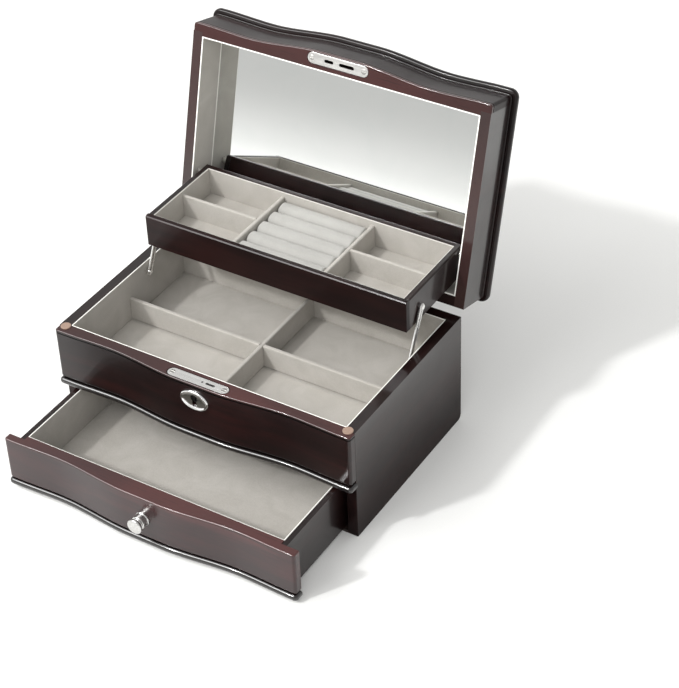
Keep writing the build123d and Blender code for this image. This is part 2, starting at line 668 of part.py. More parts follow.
# ==== tray =======================================================================
TRAY_IN_X = TRAY_HALF - TRAY_WALL
TRAY_IN_FRONT = TRAY_Y + TRAY_WALL
TRAY_IN_BACK = TRAY_BACK - TRAY_WALL
CHAMFER = 1.1
for end, y, width in (("front", TRAY_Y, TRAY_W), ("back", TRAY_IN_BACK, 2 * TRAY_IN_X)):
    with BuildPart() as tray_wall:
        with BuildSketch(Plane.XY.offset(TRAY_Z)):
            with Locations((0, y + TRAY_WALL / 2)):
                Rectangle(width, TRAY_WALL)
        extrude(amount=TRAY_H)
        outer = tray_wall.faces().sort_by(Axis.Y)[0 if end == "front" else -1]
        chamfer(outer.edges().sort_by(Axis.Z)[-1:], CHAMFER)
    save(tray_wall.part, f"tray_{end}_wall")

for side, sign in SIDES:
    with BuildPart() as tray_wall:
        with BuildSketch(Plane.XY.offset(TRAY_Z)):
            with Locations((sign * (TRAY_HALF - TRAY_WALL / 2), (TRAY_IN_FRONT + TRAY_BACK) / 2)):
                Rectangle(TRAY_WALL, TRAY_BACK - TRAY_IN_FRONT)
        extrude(amount=TRAY_H)
        outer = tray_wall.faces().sort_by(Axis.X)[0 if sign < 0 else -1]
        rear = tray_wall.faces().sort_by(Axis.Y)[-1]
        chamfer(outer.edges().sort_by(Axis.Z)[-1:] + rear.edges().sort_by(Axis.Z)[-1:], CHAMFER)
        with BuildSketch(Plane.YZ.offset(sign * TRAY_HALF)):
            with Locations((TRAY_PIN_Y, TRAY_PIN_Z)):
                Circle(PIN_R + RUN)
            with Locations((LID_PIN_Y, LID_PIN_Z)):
                Circle(PIN_R + OPEN_PIVOT)
        extrude(amount=-sign * (TRAY_WALL - 1.0), mode=Mode.SUBTRACT)
    save(tray_wall.part, f"tray_{side}_wall")

with BuildPart() as tray_bottom:
    with BuildSketch(Plane.XY.offset(TRAY_Z)):
        with Locations((0, TRAY_MID_Y)):
            Rectangle(2 * TRAY_IN_X, TRAY_IN_BACK - TRAY_IN_FRONT)
    extrude(amount=TRAY_FLOOR_T)
save(tray_bottom.part, "tray_bottom")

TRAY_DECK = TRAY_Z + TRAY_FLOOR_T
TRAY_LINED_X = TRAY_IN_X - LINING_T
TRAY_LINED_FRONT = TRAY_IN_FRONT + LINING_T
TRAY_LINED_BACK = TRAY_IN_BACK - LINING_T
with BuildPart() as tray_wall_lining:
    with BuildSketch(Plane.XY.offset(TRAY_DECK)):
        add(ring_plan(TRAY_IN_X, TRAY_IN_FRONT, TRAY_IN_BACK, LINING_T))
    extrude(amount=TRAY_TOP - 0.8 - TRAY_DECK)
save(tray_wall_lining.part, "tray_wall_lining")

# Thin padded floor and the suede-covered dividers that stand on it.
TRAY_PAD_T = 1.6
TRAY_PAD_TOP = TRAY_DECK + TRAY_PAD_T
TRAY_DIV_TOP = TRAY_Z + TRAY_DIVIDER_H + 1.0
with BuildPart() as tray_floor_pad:
    with BuildSketch(Plane.XY.offset(TRAY_DECK)):
        with Locations((0, TRAY_MID_Y)):
            Rectangle(2 * (TRAY_LINED_X - PAD_GAP), TRAY_LINED_BACK - TRAY_LINED_FRONT - 2 * PAD_GAP)
    extrude(amount=TRAY_PAD_T)
save(tray_floor_pad.part, "tray_floor_pad")

with BuildPart() as tray_cross_dividers:
    with BuildSketch(Plane.XY.offset(TRAY_PAD_TOP)):
        with Locations((-TRAY_CROSS_X, TRAY_MID_Y), (TRAY_CROSS_X, TRAY_MID_Y)):
            Rectangle(DIVIDER_T, TRAY_LINED_BACK - TRAY_LINED_FRONT - 0.2)
    extrude(amount=TRAY_DIV_TOP - TRAY_PAD_TOP)
    fillet(tray_cross_dividers.faces().sort_by(Axis.Z)[-2:].edges().filter_by(Axis.Y), 1.2)
save(tray_cross_dividers.part, "tray_cross_dividers")

DIVIDER_REACH = TRAY_LINED_X - TRAY_CROSS_X - DIVIDER_T / 2
TRAY_DIVIDER_Y = TRAY_Y + 47.0
with BuildPart() as tray_side_dividers:
    for sign in (-1, 1):
        with BuildSketch(Plane.XY.offset(TRAY_PAD_TOP)):
            with Locations((sign * (TRAY_LINED_X - DIVIDER_REACH / 2), TRAY_DIVIDER_Y)):
                Rectangle(DIVIDER_REACH - 0.2, 3.0)
        extrude(amount=TRAY_DIV_TOP - TRAY_PAD_TOP)
    fillet(tray_side_dividers.faces().sort_by(Axis.Z)[-2:].edges().filter_by(Axis.X), 1.0)
save(tray_side_dividers.part, "tray_side_dividers")

# Foam ring rolls, covered in suede, side by side between the cross dividers:
# round on top, standing on the pad.
ROLL_PITCH = (TRAY_LINED_BACK - TRAY_LINED_FRONT) / ROLL_COUNT
ROLL_R = ROLL_PITCH / 2 - 0.15
ROLL_X = TRAY_CROSS_X - DIVIDER_T / 2 - 0.4
ROLL_H = 18.8
with BuildPart() as ring_rolls:
    with BuildSketch(Plane.YZ.offset(-ROLL_X)):
        for i in range(ROLL_COUNT):
            with Locations((TRAY_LINED_FRONT + (i + 0.5) * ROLL_PITCH, TRAY_PAD_TOP + 0.1 + ROLL_H / 2)):
                SlotOverall(ROLL_H, 2 * ROLL_R, rotation=90)
    extrude(amount=2 * ROLL_X)
save(ring_rolls.part, "ring_rolls")

# ==== drawer =====================================================================
DRAWER_FACE_Z = DRAWER_Z + DRAWER_BEAD_H
KNOB_Z = 29.0
with BuildPart() as drawer_front:
    with BuildSketch(Plane.XY.offset(DRAWER_FACE_Z)):
        add(front_board(DRAWER_W / 2, DRAWER_Y, DRAWER_Y + END_T, 2.6,
                        lap=(DRAWER_INNER_X, DRAWER_Y + DRAWER_FRONT_T)))
    extrude(amount=DRAWER_TOP - DRAWER_FACE_Z)
    fillet(drawer_front.faces().sort_by(Axis.Z)[0].edges().filter_by(
        lambda e: e.center().Y < DRAWER_Y + 0.5), 3.2)
    fillet(drawer_front.faces().sort_by(Axis.Z)[-1].edges().filter_by(
        lambda e: e.center().Y < DRAWER_Y + 0.5), 0.8)
    with BuildSketch(Plane.XZ.offset(-DRAWER_Y - DRAWER_FRONT_T)):
        with Locations((0, KNOB_Z)):
            Circle(1.7)
    extrude(amount=20.0, mode=Mode.SUBTRACT)
    with BuildSketch(Plane.XZ.offset(-DRAWER_Y - DRAWER_FRONT_T)):
        with Locations((0, KNOB_Z)):
            Circle(3.4)
    extrude(amount=1.2, mode=Mode.SUBTRACT)
save(drawer_front.part, "drawer_front")
save(
    bead_strip(DRAWER_Z, DRAWER_BEAD_H, DRAWER_W / 2 + 0.8, DRAWER_Y - 1.6, DRAWER_Y + END_T,
               (DRAWER_INNER_X, DRAWER_Y + DRAWER_FRONT_T)),
    "drawer_bead",
)

DRAWER_BOX_FRONT = DRAWER_Y + END_T
DRAWER_BOX_TOP = DRAWER_TOP - 0.4
for side, sign in SIDES:
    with BuildPart() as drawer_side:
        with BuildSketch(Plane.XY.offset(DRAWER_Z)):
            with Locations((sign * (DRAWER_BOX_W / 2 - DRAWER_SIDE_T / 2),
                            (DRAWER_BOX_FRONT + DRAWER_BACK) / 2)):
                Rectangle(DRAWER_SIDE_T, DRAWER_BACK - DRAWER_BOX_FRONT)
        extrude(amount=DRAWER_BOX_TOP - DRAWER_Z)
        fillet(drawer_side.faces().sort_by(Axis.Z)[-1].edges().filter_by(Axis.Y), 0.5)
    save(drawer_side.part, f"drawer_{side}_side")

with BuildPart() as drawer_back:
    with BuildSketch(Plane.XY.offset(DRAWER_Z)):
        with Locations((0, DRAWER_BACK - DRAWER_SIDE_T / 2)):
            Rectangle(2 * DRAWER_INNER_X, DRAWER_SIDE_T)
    extrude(amount=DRAWER_BOX_TOP - DRAWER_Z)
save(drawer_back.part, "drawer_back")

DRAWER_IN_FRONT = DRAWER_Y + DRAWER_FRONT_T
DRAWER_IN_BACK = DRAWER_BACK - DRAWER_SIDE_T
DRAWER_MID_Y = (DRAWER_IN_FRONT + DRAWER_IN_BACK) / 2
with BuildPart() as drawer_bottom:
    with BuildSketch(Plane.XY.offset(DRAWER_FLOOR_Z)):
        with Locations((0, DRAWER_MID_Y)):
            Rectangle(2 * DRAWER_INNER_X, DRAWER_IN_BACK - DRAWER_IN_FRONT)
    extrude(amount=DRAWER_FLOOR_T)
save(drawer_bottom.part, "drawer_bottom")

DRAWER_DECK = DRAWER_FLOOR_Z + DRAWER_FLOOR_T
with BuildPart() as drawer_wall_lining:
    with BuildSketch(Plane.XY.offset(DRAWER_DECK)):
        add(ring_plan(DRAWER_INNER_X, DRAWER_IN_FRONT, DRAWER_IN_BACK, LINING_T))
    extrude(amount=DRAWER_BOX_TOP - DRAWER_DECK)
    fillet(drawer_wall_lining.faces().sort_by(Axis.Z)[-1].edges(), 0.35)
save(drawer_wall_lining.part, "drawer_wall_lining")

with BuildPart() as drawer_floor_pad:
    with BuildSketch(Plane.XY.offset(DRAWER_DECK)):
        with Locations((0, DRAWER_MID_Y)):
            Rectangle(
                2 * (DRAWER_INNER_X - LINING_T - PAD_GAP),
                DRAWER_IN_BACK - DRAWER_IN_FRONT - 2 * (LINING_T + PAD_GAP),
            )
    extrude(amount=PAD_T)
    fillet(drawer_floor_pad.faces().sort_by(Axis.Z)[-1].edges(), 1.2)
save(drawer_floor_pad.part, "drawer_floor_pad")

# Turned knob: a base disc, a stout stem, a neck and a round face; its screw
# comes from inside the drawer front.
KNOB_Y = DRAWER_Y - WAVE_OUT - SEAT_GAP
KNOB_PROFILE = ((0, 0), (6.5, 0), (6.5, 1.3), (5.6, 1.9), (5.6, 6.6), (4.0, 7.4), (4.0, 8.6), (6.6, 9.4),
                (6.6, 11.2), (5.9, 12.0), (0, 12.4))
with BuildPart() as drawer_knob:
    with BuildSketch(Plane.YZ):
        with BuildLine():
            Polyline([(KNOB_Y - out, KNOB_Z + r) for r, out in KNOB_PROFILE] + [(KNOB_Y, KNOB_Z)])
        make_face()
    revolve(axis=Axis((0, KNOB_Y, KNOB_Z), (0, 1, 0)))
    with BuildSketch(Plane.XZ.offset(-KNOB_Y)):
        with Locations((0, KNOB_Z)):
            Circle(1.6)
    extrude(amount=5.0, mode=Mode.SUBTRACT)
save(drawer_knob.part, "drawer_knob")

with BuildPart() as knob_screw:
    with BuildSketch(Plane.XZ.offset(-KNOB_Y + 4.8)):
        with Locations((0, KNOB_Z)):
            Circle(1.5)
    extrude(amount=-(4.6 + WAVE_OUT + DRAWER_FRONT_T))
    with BuildSketch(Plane.XZ.offset(-DRAWER_IN_FRONT + 0.1)):
        with Locations((0, KNOB_Z)):
            Circle(3.2)
    extrude(amount=1.0)
save(knob_screw.part, "knob_screw")
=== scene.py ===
"""A lacquered jewelry box with a mirror in its lid, a tray that rises with the lid, and a drawer."""
from math import cos, pi, radians, sin

import bpy
import numpy as np
from mathutils import Matrix, Vector


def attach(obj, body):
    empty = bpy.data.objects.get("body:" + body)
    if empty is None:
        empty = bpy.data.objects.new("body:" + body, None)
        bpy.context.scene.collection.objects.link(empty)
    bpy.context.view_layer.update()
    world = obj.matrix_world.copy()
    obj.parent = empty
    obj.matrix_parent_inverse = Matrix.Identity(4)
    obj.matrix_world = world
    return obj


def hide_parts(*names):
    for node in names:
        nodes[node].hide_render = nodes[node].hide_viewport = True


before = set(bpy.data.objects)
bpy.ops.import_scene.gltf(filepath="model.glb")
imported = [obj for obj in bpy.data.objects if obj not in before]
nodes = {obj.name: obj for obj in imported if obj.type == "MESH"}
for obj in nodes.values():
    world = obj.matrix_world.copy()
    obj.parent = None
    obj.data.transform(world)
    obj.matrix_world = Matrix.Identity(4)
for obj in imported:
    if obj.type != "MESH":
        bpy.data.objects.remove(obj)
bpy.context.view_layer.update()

# ==== Side and back boards of the case ===========================================
# Solid boards glued at square corners, stained near black over a red-brown wood and
# sprayed with a hard clear lacquer; their edges are broken so the lacquer holds on.
SIDE_EDGE = 0.0007


def group(name, ins, outs):
    """An empty shader node group with the named inputs and outputs."""
    tree = bpy.data.node_groups.new(name, "ShaderNodeTree")
    for label, kind, value in ins:
        socket = tree.interface.new_socket(label, in_out="INPUT", socket_type=kind)
        if value is not None:
            socket.default_value = value
    for label, kind in outs:
        tree.interface.new_socket(label, in_out="OUTPUT", socket_type=kind)
    tree.nodes.new("NodeGroupInput").name = "in"
    tree.nodes.new("NodeGroupOutput").name = "out"
    return tree


def put(tree, kind, links=None, **settings):
    """A new node with its settings, its inputs linked from sockets or set to values."""
    node = tree.nodes.new(kind)
    for key, value in settings.items():
        setattr(node, key, value)
    for key, value in (links or {}).items():
        if isinstance(value, bpy.types.NodeSocket):
            tree.links.new(value, node.inputs[key])
        else:
            node.inputs[key].default_value = value
    return node


def noise(tree, vector, scale, stretch=(1, 1, 1), detail=2.0, rough=0.5, distort=0.0):
    """The value of a noise whose pattern is stretched along the three axes."""
    turn = put(tree, "ShaderNodeMapping", {"Vector": vector, "Scale": stretch})
    field = put(tree, "ShaderNodeTexNoise", {
        "Vector": turn.outputs[0], "Scale": scale, "Detail": detail, "Roughness": rough,
        "Distortion": distort})
    return field.outputs["Fac"]


def spread(tree, value, low, high, to_low=0.0, to_high=1.0):
    """A value mapped from one range to another with soft ends."""
    node = put(tree, "ShaderNodeMapRange", {
        "Value": value, "From Min": low, "From Max": high, "To Min": to_low, "To Max": to_high},
        interpolation_type="SMOOTHSTEP")
    return node.outputs["Result"]


def mix(tree, factor, one, two):
    """Two colours mixed by a factor."""
    node = put(tree, "ShaderNodeMix", data_type="RGBA")
    for place, value in ((0, factor), (6, one), (7, two)):
        if isinstance(value, bpy.types.NodeSocket):
            tree.links.new(value, node.inputs[place])
        else:
            node.inputs[place].default_value = value
    return node.outputs[2]


def calc(tree, operation, *values):
    """One arithmetic step on up to three values."""
    node = put(tree, "ShaderNodeMath", operation=operation)
    for place, value in enumerate(values):
        if isinstance(value, bpy.types.NodeSocket):
            tree.links.new(value, node.inputs[place])
        else:
            node.inputs[place].default_value = value
    return node.outputs[0]


# Wood grain: long streaks with fine pores in them. The vector's X runs along the board.
grain = group("wood grain", [("Vector", "NodeSocketVector", None)],
              [("Streak", "NodeSocketFloat"), ("Pore", "NodeSocketFloat"), ("Cloud", "NodeSocketFloat")])
along = grain.nodes["in"].outputs["Vector"]
streak = noise(grain, along, 90.0, (0.10, 1, 1), 4.0, 0.6, 0.35)
pore = noise(grain, along, 900.0, (0.035, 1, 1), 2.0, 0.55)
cloud = noise(grain, along, 9.0, (0.5, 1, 1), 2.0, 0.5, 0.6)
grain.links.new(spread(grain, streak, 0.38, 0.66), grain.nodes["out"].inputs["Streak"])
grain.links.new(spread(grain, pore, 0.56, 0.70), grain.nodes["out"].inputs["Pore"])
grain.links.new(spread(grain, cloud, 0.35, 0.68), grain.nodes["out"].inputs["Cloud"])

# Handling: the faint haze that fingers and dusting leave on a hard bright surface.
haze = group("handling haze", [("Vector", "NodeSocketVector", None)],
             [("Smudge", "NodeSocketFloat")])
place = haze.nodes["in"].outputs["Vector"]
haze.links.new(spread(haze, noise(haze, place, 26.0, (1, 1, 1), 3.0, 0.6, 0.8), 0.40, 0.70),
               haze.nodes["out"].inputs["Smudge"])


def surface(name):
    """A new material with its tree, its Principled node and its object coordinates."""
    material = bpy.data.materials.new(name)
    material.use_nodes = True
    tree = material.node_tree
    shader = next(n for n in tree.nodes if n.type == "BSDF_PRINCIPLED")
    where = put(tree, "ShaderNodeTexCoord").outputs["Object"]
    return material, tree, shader, where


def lacquer(name, turn, dark, red, show, gloss, rim=None, foot=None, ends=None, quirk=None):
    """Near-black stain under clear lacquer. Red shows where streaks and clouds meet.

    turn sets the board's grain along X, show is how much of the red comes through, and gloss is
    how thickly the clear coat was laid. rim is (normal, height, colour): past that height along
    the normal the colour is painted redder, a painted glow of light passing through the lacquer at
    grazing angles, and the coat pooled. With a rim, ends is the pair of distances from the middle
    between which the coat thickens towards both ends of the board, and quirk the pair of heights
    of a groove whose colour is painted near black, painted shade in it, and whose coat is taken off.
    Without one, foot is the height up to which the coat thickens from nothing at the bottom. A real
    coat is even: gloss, foot and ends are set board by board for how brightly each one mirrors the room.
    """
    material, tree, shader, where = surface(name)
    board = put(tree, "ShaderNodeMapping", {"Vector": where, "Rotation": turn}).outputs[0]
    wood = put(tree, "ShaderNodeGroup", {}, node_tree=grain)
    tree.links.new(board, wood.inputs["Vector"])
    hands = put(tree, "ShaderNodeGroup", {}, node_tree=haze)
    tree.links.new(where, hands.inputs["Vector"])
    through = calc(tree, "MULTIPLY", calc(tree, "MULTIPLY_ADD", wood.outputs["Streak"], 0.55, 0.2),
                   calc(tree, "MULTIPLY_ADD", wood.outputs["Cloud"], 0.8, 0.35))
    colour = mix(tree, calc(tree, "MULTIPLY", through, show * 2), (*dark, 1), (*red, 1))
    if rim:
        up = put(tree, "ShaderNodeVectorMath", {0: where, 1: rim[0]}, operation="DOT_PRODUCT")
        # Past the rim height the colour is painted redder: a painted glow of light passing through the
        # lacquer at grazing angles.
        thin = spread(tree, up.outputs["Value"], rim[1] - 0.0004, rim[1] + 0.0003)
        thin = calc(tree, "MULTIPLY", thin, calc(tree, "MULTIPLY_ADD", wood.outputs["Cloud"], 0.65, 0.42))
        colour = mix(tree, thin, colour, (*rim[2], 1))
        pooled = spread(tree, up.outputs["Value"], rim[1] - 0.0012, rim[1] + 0.0002)
        if ends:
            across = calc(tree, "ABSOLUTE", put(tree, "ShaderNodeSeparateXYZ", {0: where}).outputs["X"])
            pooled = calc(tree, "MAXIMUM", pooled, spread(tree, across, *ends, 0.0, 0.7))
        if quirk:
            # The groove's colour is painted near black, painted shade where light does not reach into it,
            # and its coat is taken off.
            above = spread(tree, up.outputs["Value"], quirk[0] - 0.00015, quirk[0] + 0.00015)
            below = spread(tree, up.outputs["Value"], quirk[1] + 0.00015, quirk[1] - 0.00015)
            groove_shade = calc(tree, "MULTIPLY", above, below)
            colour = mix(tree, groove_shade, colour, (0.0015, 0.001, 0.001, 1))
            pooled = calc(tree, "MULTIPLY", pooled, calc(tree, "SUBTRACT", 1.0, groove_shade))
        tree.links.new(calc(tree, "MULTIPLY_ADD", pooled, 0.9 - gloss, gloss), shader.inputs["Coat Weight"])
    elif foot:
        height = put(tree, "ShaderNodeSeparateXYZ", {0: where}).outputs["Z"]
        tree.links.new(spread(tree, height, 0.0, foot, 0.0, gloss), shader.inputs["Coat Weight"])
    else:
        shader.inputs["Coat Weight"].default_value = gloss
    pores = calc(tree, "MULTIPLY", wood.outputs["Pore"], 0.35)
    tree.links.new(mix(tree, pores, colour, (0.003, 0.002, 0.002, 1)), shader.inputs["Base Color"])
    tree.links.new(calc(tree, "MULTIPLY_ADD", hands.outputs["Smudge"], 0.06, 0.30),
                   shader.inputs["Roughness"])
    shader.inputs["Specular IOR Level"].default_value = 0.08 if foot else 0.10 + 0.25 * gloss
    shader.inputs["Coat IOR"].default_value = 1.44
    shader.inputs["Coat Roughness"].default_value = 0.09
    bump = put(tree, "ShaderNodeBump", {"Strength": 0.03, "Distance": 0.0002,
                                        "Height": wood.outputs["Streak"]})
    tree.links.new(bump.outputs[0], shader.inputs["Normal"])
    return material


STAIN = (0.0060, 0.0030, 0.0030)
MAHOGANY = (0.022, 0.0070, 0.0062)
CROSSWISE = (0, 0, 0)
LENGTHWISE = (0, 0, radians(90))
side_wood = lacquer("lacquer, grain front to back", LENGTHWISE, STAIN, MAHOGANY, 0.35, 1.0,
                    foot=0.115)
cross_wood = lacquer("lacquer, grain left to right", CROSSWISE, STAIN, MAHOGANY, 0.5, 0.12)


def paint(material, *names):
    """Gives frame pieces their finish."""
    for name in names:
        nodes[name].data.materials.clear()
        nodes[name].data.materials.append(material)


def soften(width, *names, angle=35):
    """Joins a frame piece's faces and rounds its sharp edges by a small radius."""
    for name in names:
        weld = nodes[name].modifiers.new("joined faces", "WELD")
        weld.merge_threshold = 0.00001
        bevel = nodes[name].modifiers.new("broken edges", "BEVEL")
        bevel.width = width
        bevel.segments = 3
        bevel.limit_method = "ANGLE"
        bevel.angle_limit = radians(angle)
        bevel.harden_normals = True


paint(side_wood, "left_side_panel", "right_side_panel")
paint(cross_wood, "back_panel")
soften(SIDE_EDGE, "left_side_panel", "right_side_panel", "back_panel")

# ==== Serpentine front of the case ===============================================
# A thick board shaped to a swell between two dips, rolled in at its foot above a
# glued half-round bead, with a fine quirk under its rim. Red-brown wood shows through
# the lacquer, and most on its rim, where the red is a painted glow of light passing through
# the lacquer at grazing angles; the quirk is painted near black as painted shade.
WAVE_OUT = 4.0
WAVE_DIP = -1.5
WAVE_HALF = 134.0
FRONT = -87.0


def smooth(t):
    """Zero to one with level ends: t squared times three minus two t."""
    t = np.clip(t, 0, 1)
    return t * t * (3 - 2 * t)


def wave(x):
    """How far the front stands out at x: a swell that falls to a dip, then rises to nothing."""
    s = np.abs(x) / WAVE_HALF
    fall = smooth((s - 0.12) / 0.52)
    rise = smooth((s - 0.64) / 0.36)
    return WAVE_OUT + (WAVE_DIP - WAVE_OUT) * fall - WAVE_DIP * rise


def front_line(half, front, corner):
    """Plan of a serpentine front from its left end round to its right: a corner arc, the wave
    between them, an arc. Points are spaced evenly along each part."""
    turn = np.linspace(0, pi / 2, 9)
    x = np.linspace(-half + corner, half - corner, 193)
    y = front - wave(np.clip(x, -WAVE_HALF, WAVE_HALF))
    arc_x = -half + corner - corner * np.cos(turn)
    arc_y = front + corner - corner * np.sin(turn)
    return (np.concatenate([arc_x[:-1], x, -arc_x[::-1][1:]]),
            np.concatenate([arc_y[:-1], y, arc_y[::-1][1:]]))


def loft(name, rows):
    """A closed skin through rows of closed cross-sections: each point joins the next along its
    own row and the same point in the next row; flat caps shut the two ends. Sizes are in
    millimetres and become metres here. Faces are turned outward by the sign of the volume."""
    count, wide = rows.shape[:2]
    i, j = np.meshgrid(np.arange(count - 1), np.arange(wide), indexing="ij")
    k = (j + 1) % wide
    quads = np.stack([i * wide + j, i * wide + k, (i + 1) * wide + k, (i + 1) * wide + j], -1)
    quads = quads.reshape(-1, 4)
    points = rows.reshape(-1, 3) * 0.001
    centre = points.mean(0)
    a, b, c, d = (points[quads[:, n]] - centre for n in range(4))
    volume = np.einsum("ij,ij->", a, np.cross(b, c)) + np.einsum("ij,ij->", a, np.cross(c, d))
    ends = [list(range(wide))[::-1], list(range((count - 1) * wide, count * wide))]
    faces = quads.tolist() + ends
    if volume < 0:
        faces = [face[::-1] for face in faces]
    mesh = bpy.data.meshes.new(name)
    mesh.from_pydata(points.tolist(), [], faces)
    mesh.validate()
    return mesh


def piece(name, mesh, material, body, slot, *instead, sharp=40, weighted=True):
    """Puts a mesh in the scene with its material, shades it smooth between its sharp edges, hangs
    it on the body it rides on and hides the frame pieces it stands for. slot is not used."""
    mesh.polygons.foreach_set("use_smooth", np.ones(len(mesh.polygons), bool))
    mesh.set_sharp_from_angle(angle=radians(sharp))
    obj = bpy.data.objects.new(name.replace(" ", "_"), mesh)
    bpy.context.scene.collection.objects.link(obj)
    mesh.materials.append(material)
    if weighted:
        normals = obj.modifiers.new("even shading", "WEIGHTED_NORMAL")
        normals.keep_sharp = True
    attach(obj, body)
    if instead:
        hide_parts(*instead)
    return obj


def cut(mesh, *tools):
    """A mesh with the shapes of other meshes cut out of it."""
    block = bpy.data.objects.new("block", mesh)
    bpy.context.scene.collection.objects.link(block)
    knives = []
    for tool in tools:
        knife = bpy.data.objects.new("knife", tool)
        bpy.context.scene.collection.objects.link(knife)
        step = block.modifiers.new("cut", "BOOLEAN")
        step.operation = "DIFFERENCE"
        step.solver = "EXACT"
        step.object = knife
        knives.append(knife)
    made = bpy.data.meshes.new_from_object(block.evaluated_get(bpy.context.evaluated_depsgraph_get()))
    for old in [block, *knives]:
        bpy.data.objects.remove(old)
    made.name = mesh.name
    return made


def front_board(half, front, corner, back, steps, lap):
    """Rows of closed plans, one for each step (height, inset): the serpentine line drawn in by
    the inset, then the ends and the back, which is thicker between the sides: lap is that part's
    half width and its back."""
    rows = []
    for z, inset in steps:
        x, y = front_line(half - inset, front + inset, max(corner - inset, 0.3))
        wide = half - inset
        tail = [(wide, back), (lap[0], back), (lap[0], lap[1]),
                (-lap[0], lap[1]), (-lap[0], back), (-wide, back)]
        tx, ty = np.array(tail).T
        ring = np.stack([np.concatenate([x, tx]), np.concatenate([y, ty])], -1)
        rows.append(np.column_stack([ring, np.full(len(ring), z)]))
    return np.array(rows)


def ease(z, radius, side, count=7):
    """Steps (height, inset) of an edge rounded by a radius, below (side -1) or above (side 1) z."""
    t = np.linspace(0, pi / 2, count)
    if side < 0:
        return [(z + radius * (1 - cos(a)), radius * (1 - sin(a))) for a in t]
    return [(z - radius * (1 - sin(a)), radius * (1 - cos(a))) for a in t]


def slot_plan(centre, length, width):
    """Closed plan of a slot with round ends, lying along X."""
    half, r = length / 2 - width / 2, width / 2
    t = np.linspace(-pi / 2, pi / 2, 13)
    right = np.stack([centre[0] + half + r * np.cos(t), centre[1] + r * np.sin(t)], -1)
    left = np.stack([centre[0] - half - r * np.cos(t), centre[1] - r * np.sin(t)], -1)
    return np.concatenate([right, left])


def prism(plan, low, high):
    """Two rows of the same plan, at a low and a high level."""
    return np.array([np.column_stack([plan, np.full(len(plan), z)]) for z in (low, high)])


FRONT_RED = (0.023, 0.0062, 0.0058)
# Painted glow for the rims: the red of light passing through the lacquer at grazing angles.
RIM_GLOW_RED = (0.062, 0.0150, 0.0135)
CASE_HALF = 140
CASE_FOOT = 56.5
CASE_TOP = 106.0
CASE_ENDS = -79.8
CASE_LAP = (131, -76.2)
QUIRK_LOW = 103.0
QUIRK_HIGH = 103.8
QUIRK_DEEP = 0.55
UP = (0, 0, 1)
# The case front's rim is painted redder, a painted glow, and its quirk near black, painted shade.
front_wood = lacquer("lacquer on the case front", CROSSWISE, STAIN, FRONT_RED, 0.5, 0.15,
                     (UP, 0.1053, RIM_GLOW_RED), ends=(0.088, 0.132), quirk=(0.1028, 0.1039))
steps = ease(CASE_FOOT, 3.6, -1, 9)
steps += [(QUIRK_LOW, 0.0), (QUIRK_LOW + 0.1, QUIRK_DEEP), (QUIRK_HIGH - 0.1, QUIRK_DEEP), (QUIRK_HIGH, 0.1)]
steps += ease(CASE_TOP, 1.2, 1, 7)
face = loft("front board", front_board(CASE_HALF, FRONT, 2.6, CASE_ENDS, steps, CASE_LAP))
LOCK_Y = -84.6
LOCK_Z = 91
MORTISE_FLOOR = 104.8
mortise = loft("mortise", prism(slot_plan((0, LOCK_Y), 58.3, 10.7), MORTISE_FLOOR, 107))
pocket = loft("pocket", prism(slot_plan((0, LOCK_Y), 41.0, 5.0), 96, 105))
turn = np.linspace(0, 2 * pi, 33)[:-1]
bore_ring = np.stack([4.6 * np.cos(turn), np.zeros(32), LOCK_Z + 4.6 * np.sin(turn)], -1)
bore = loft("bore", np.array([bore_ring + (0, y, 0) for y in (-96, -80)]))
piece("case front", cut(face, mortise, pocket, bore), front_wood, "case", "lacquered_wood", "front_panel")

bead_wood = lacquer("lacquer on the beads", CROSSWISE, (0.0035, 0.0026, 0.0025), MAHOGANY, 0.15, 1.0)
steps = ease(51.0, 2.4, -1, 7) + ease(CASE_FOOT, 2.4, 1, 7)
strip = front_board(CASE_HALF + 1.2, FRONT - 2.0, 3.4, CASE_ENDS, steps, CASE_LAP)
piece("case bead", loft("case bead", strip), bead_wood, "case", "lacquered_wood", "front_bead")

# ==== Shelf, bottom board and drawer guides ======================================
# Plain stained boards: the shelf under the lined compartment, the bottom let in
# between the sides, and two strips glued to the sides that guide the drawer.
def stained(name, dark, light):
    """Stain rubbed thin on a plain board, with the grain left to right and no lacquer."""
    material, tree, shader, where = surface(name)
    wood = put(tree, "ShaderNodeGroup", {}, node_tree=grain)
    tree.links.new(where, wood.inputs["Vector"])
    tree.links.new(mix(tree, wood.outputs["Streak"], (*dark, 1), (*light, 1)), shader.inputs["Base Color"])
    tree.links.new(spread(tree, wood.outputs["Pore"], 0, 1, 0.6, 0.8), shader.inputs["Roughness"])
    return material


board_stain = stained("stained board", (0.012, 0.008, 0.007), (0.03, 0.017, 0.013))
paint(board_stain, "shelf_board", "bottom_board", "drawer_guides", "drawer_bottom", "tray_bottom")

# ==== Lining of the case =========================================================
# Thin card covered in grey suede cloth, glued round the walls. Its cut rim is left
# bare: an ivory line, flush with the rim of the boards.
nap = group("suede nap", [("Vector", "NodeSocketVector", None)],
            [("Shade", "NodeSocketFloat"), ("Height", "NodeSocketFloat")])
spot = nap.nodes["in"].outputs["Vector"]
brushed = noise(nap, spot, 38.0, (1, 1, 1), 3.0, 0.6, 0.9)
fibre = noise(nap, spot, 1500.0, (1, 1, 1), 2.0, 0.7)
shade = calc(nap, "MULTIPLY_ADD", fibre, 0.5, calc(nap, "MULTIPLY", brushed, 0.5))
nap.links.new(shade, nap.nodes["out"].inputs["Shade"])
nap.links.new(fibre, nap.nodes["out"].inputs["Height"])


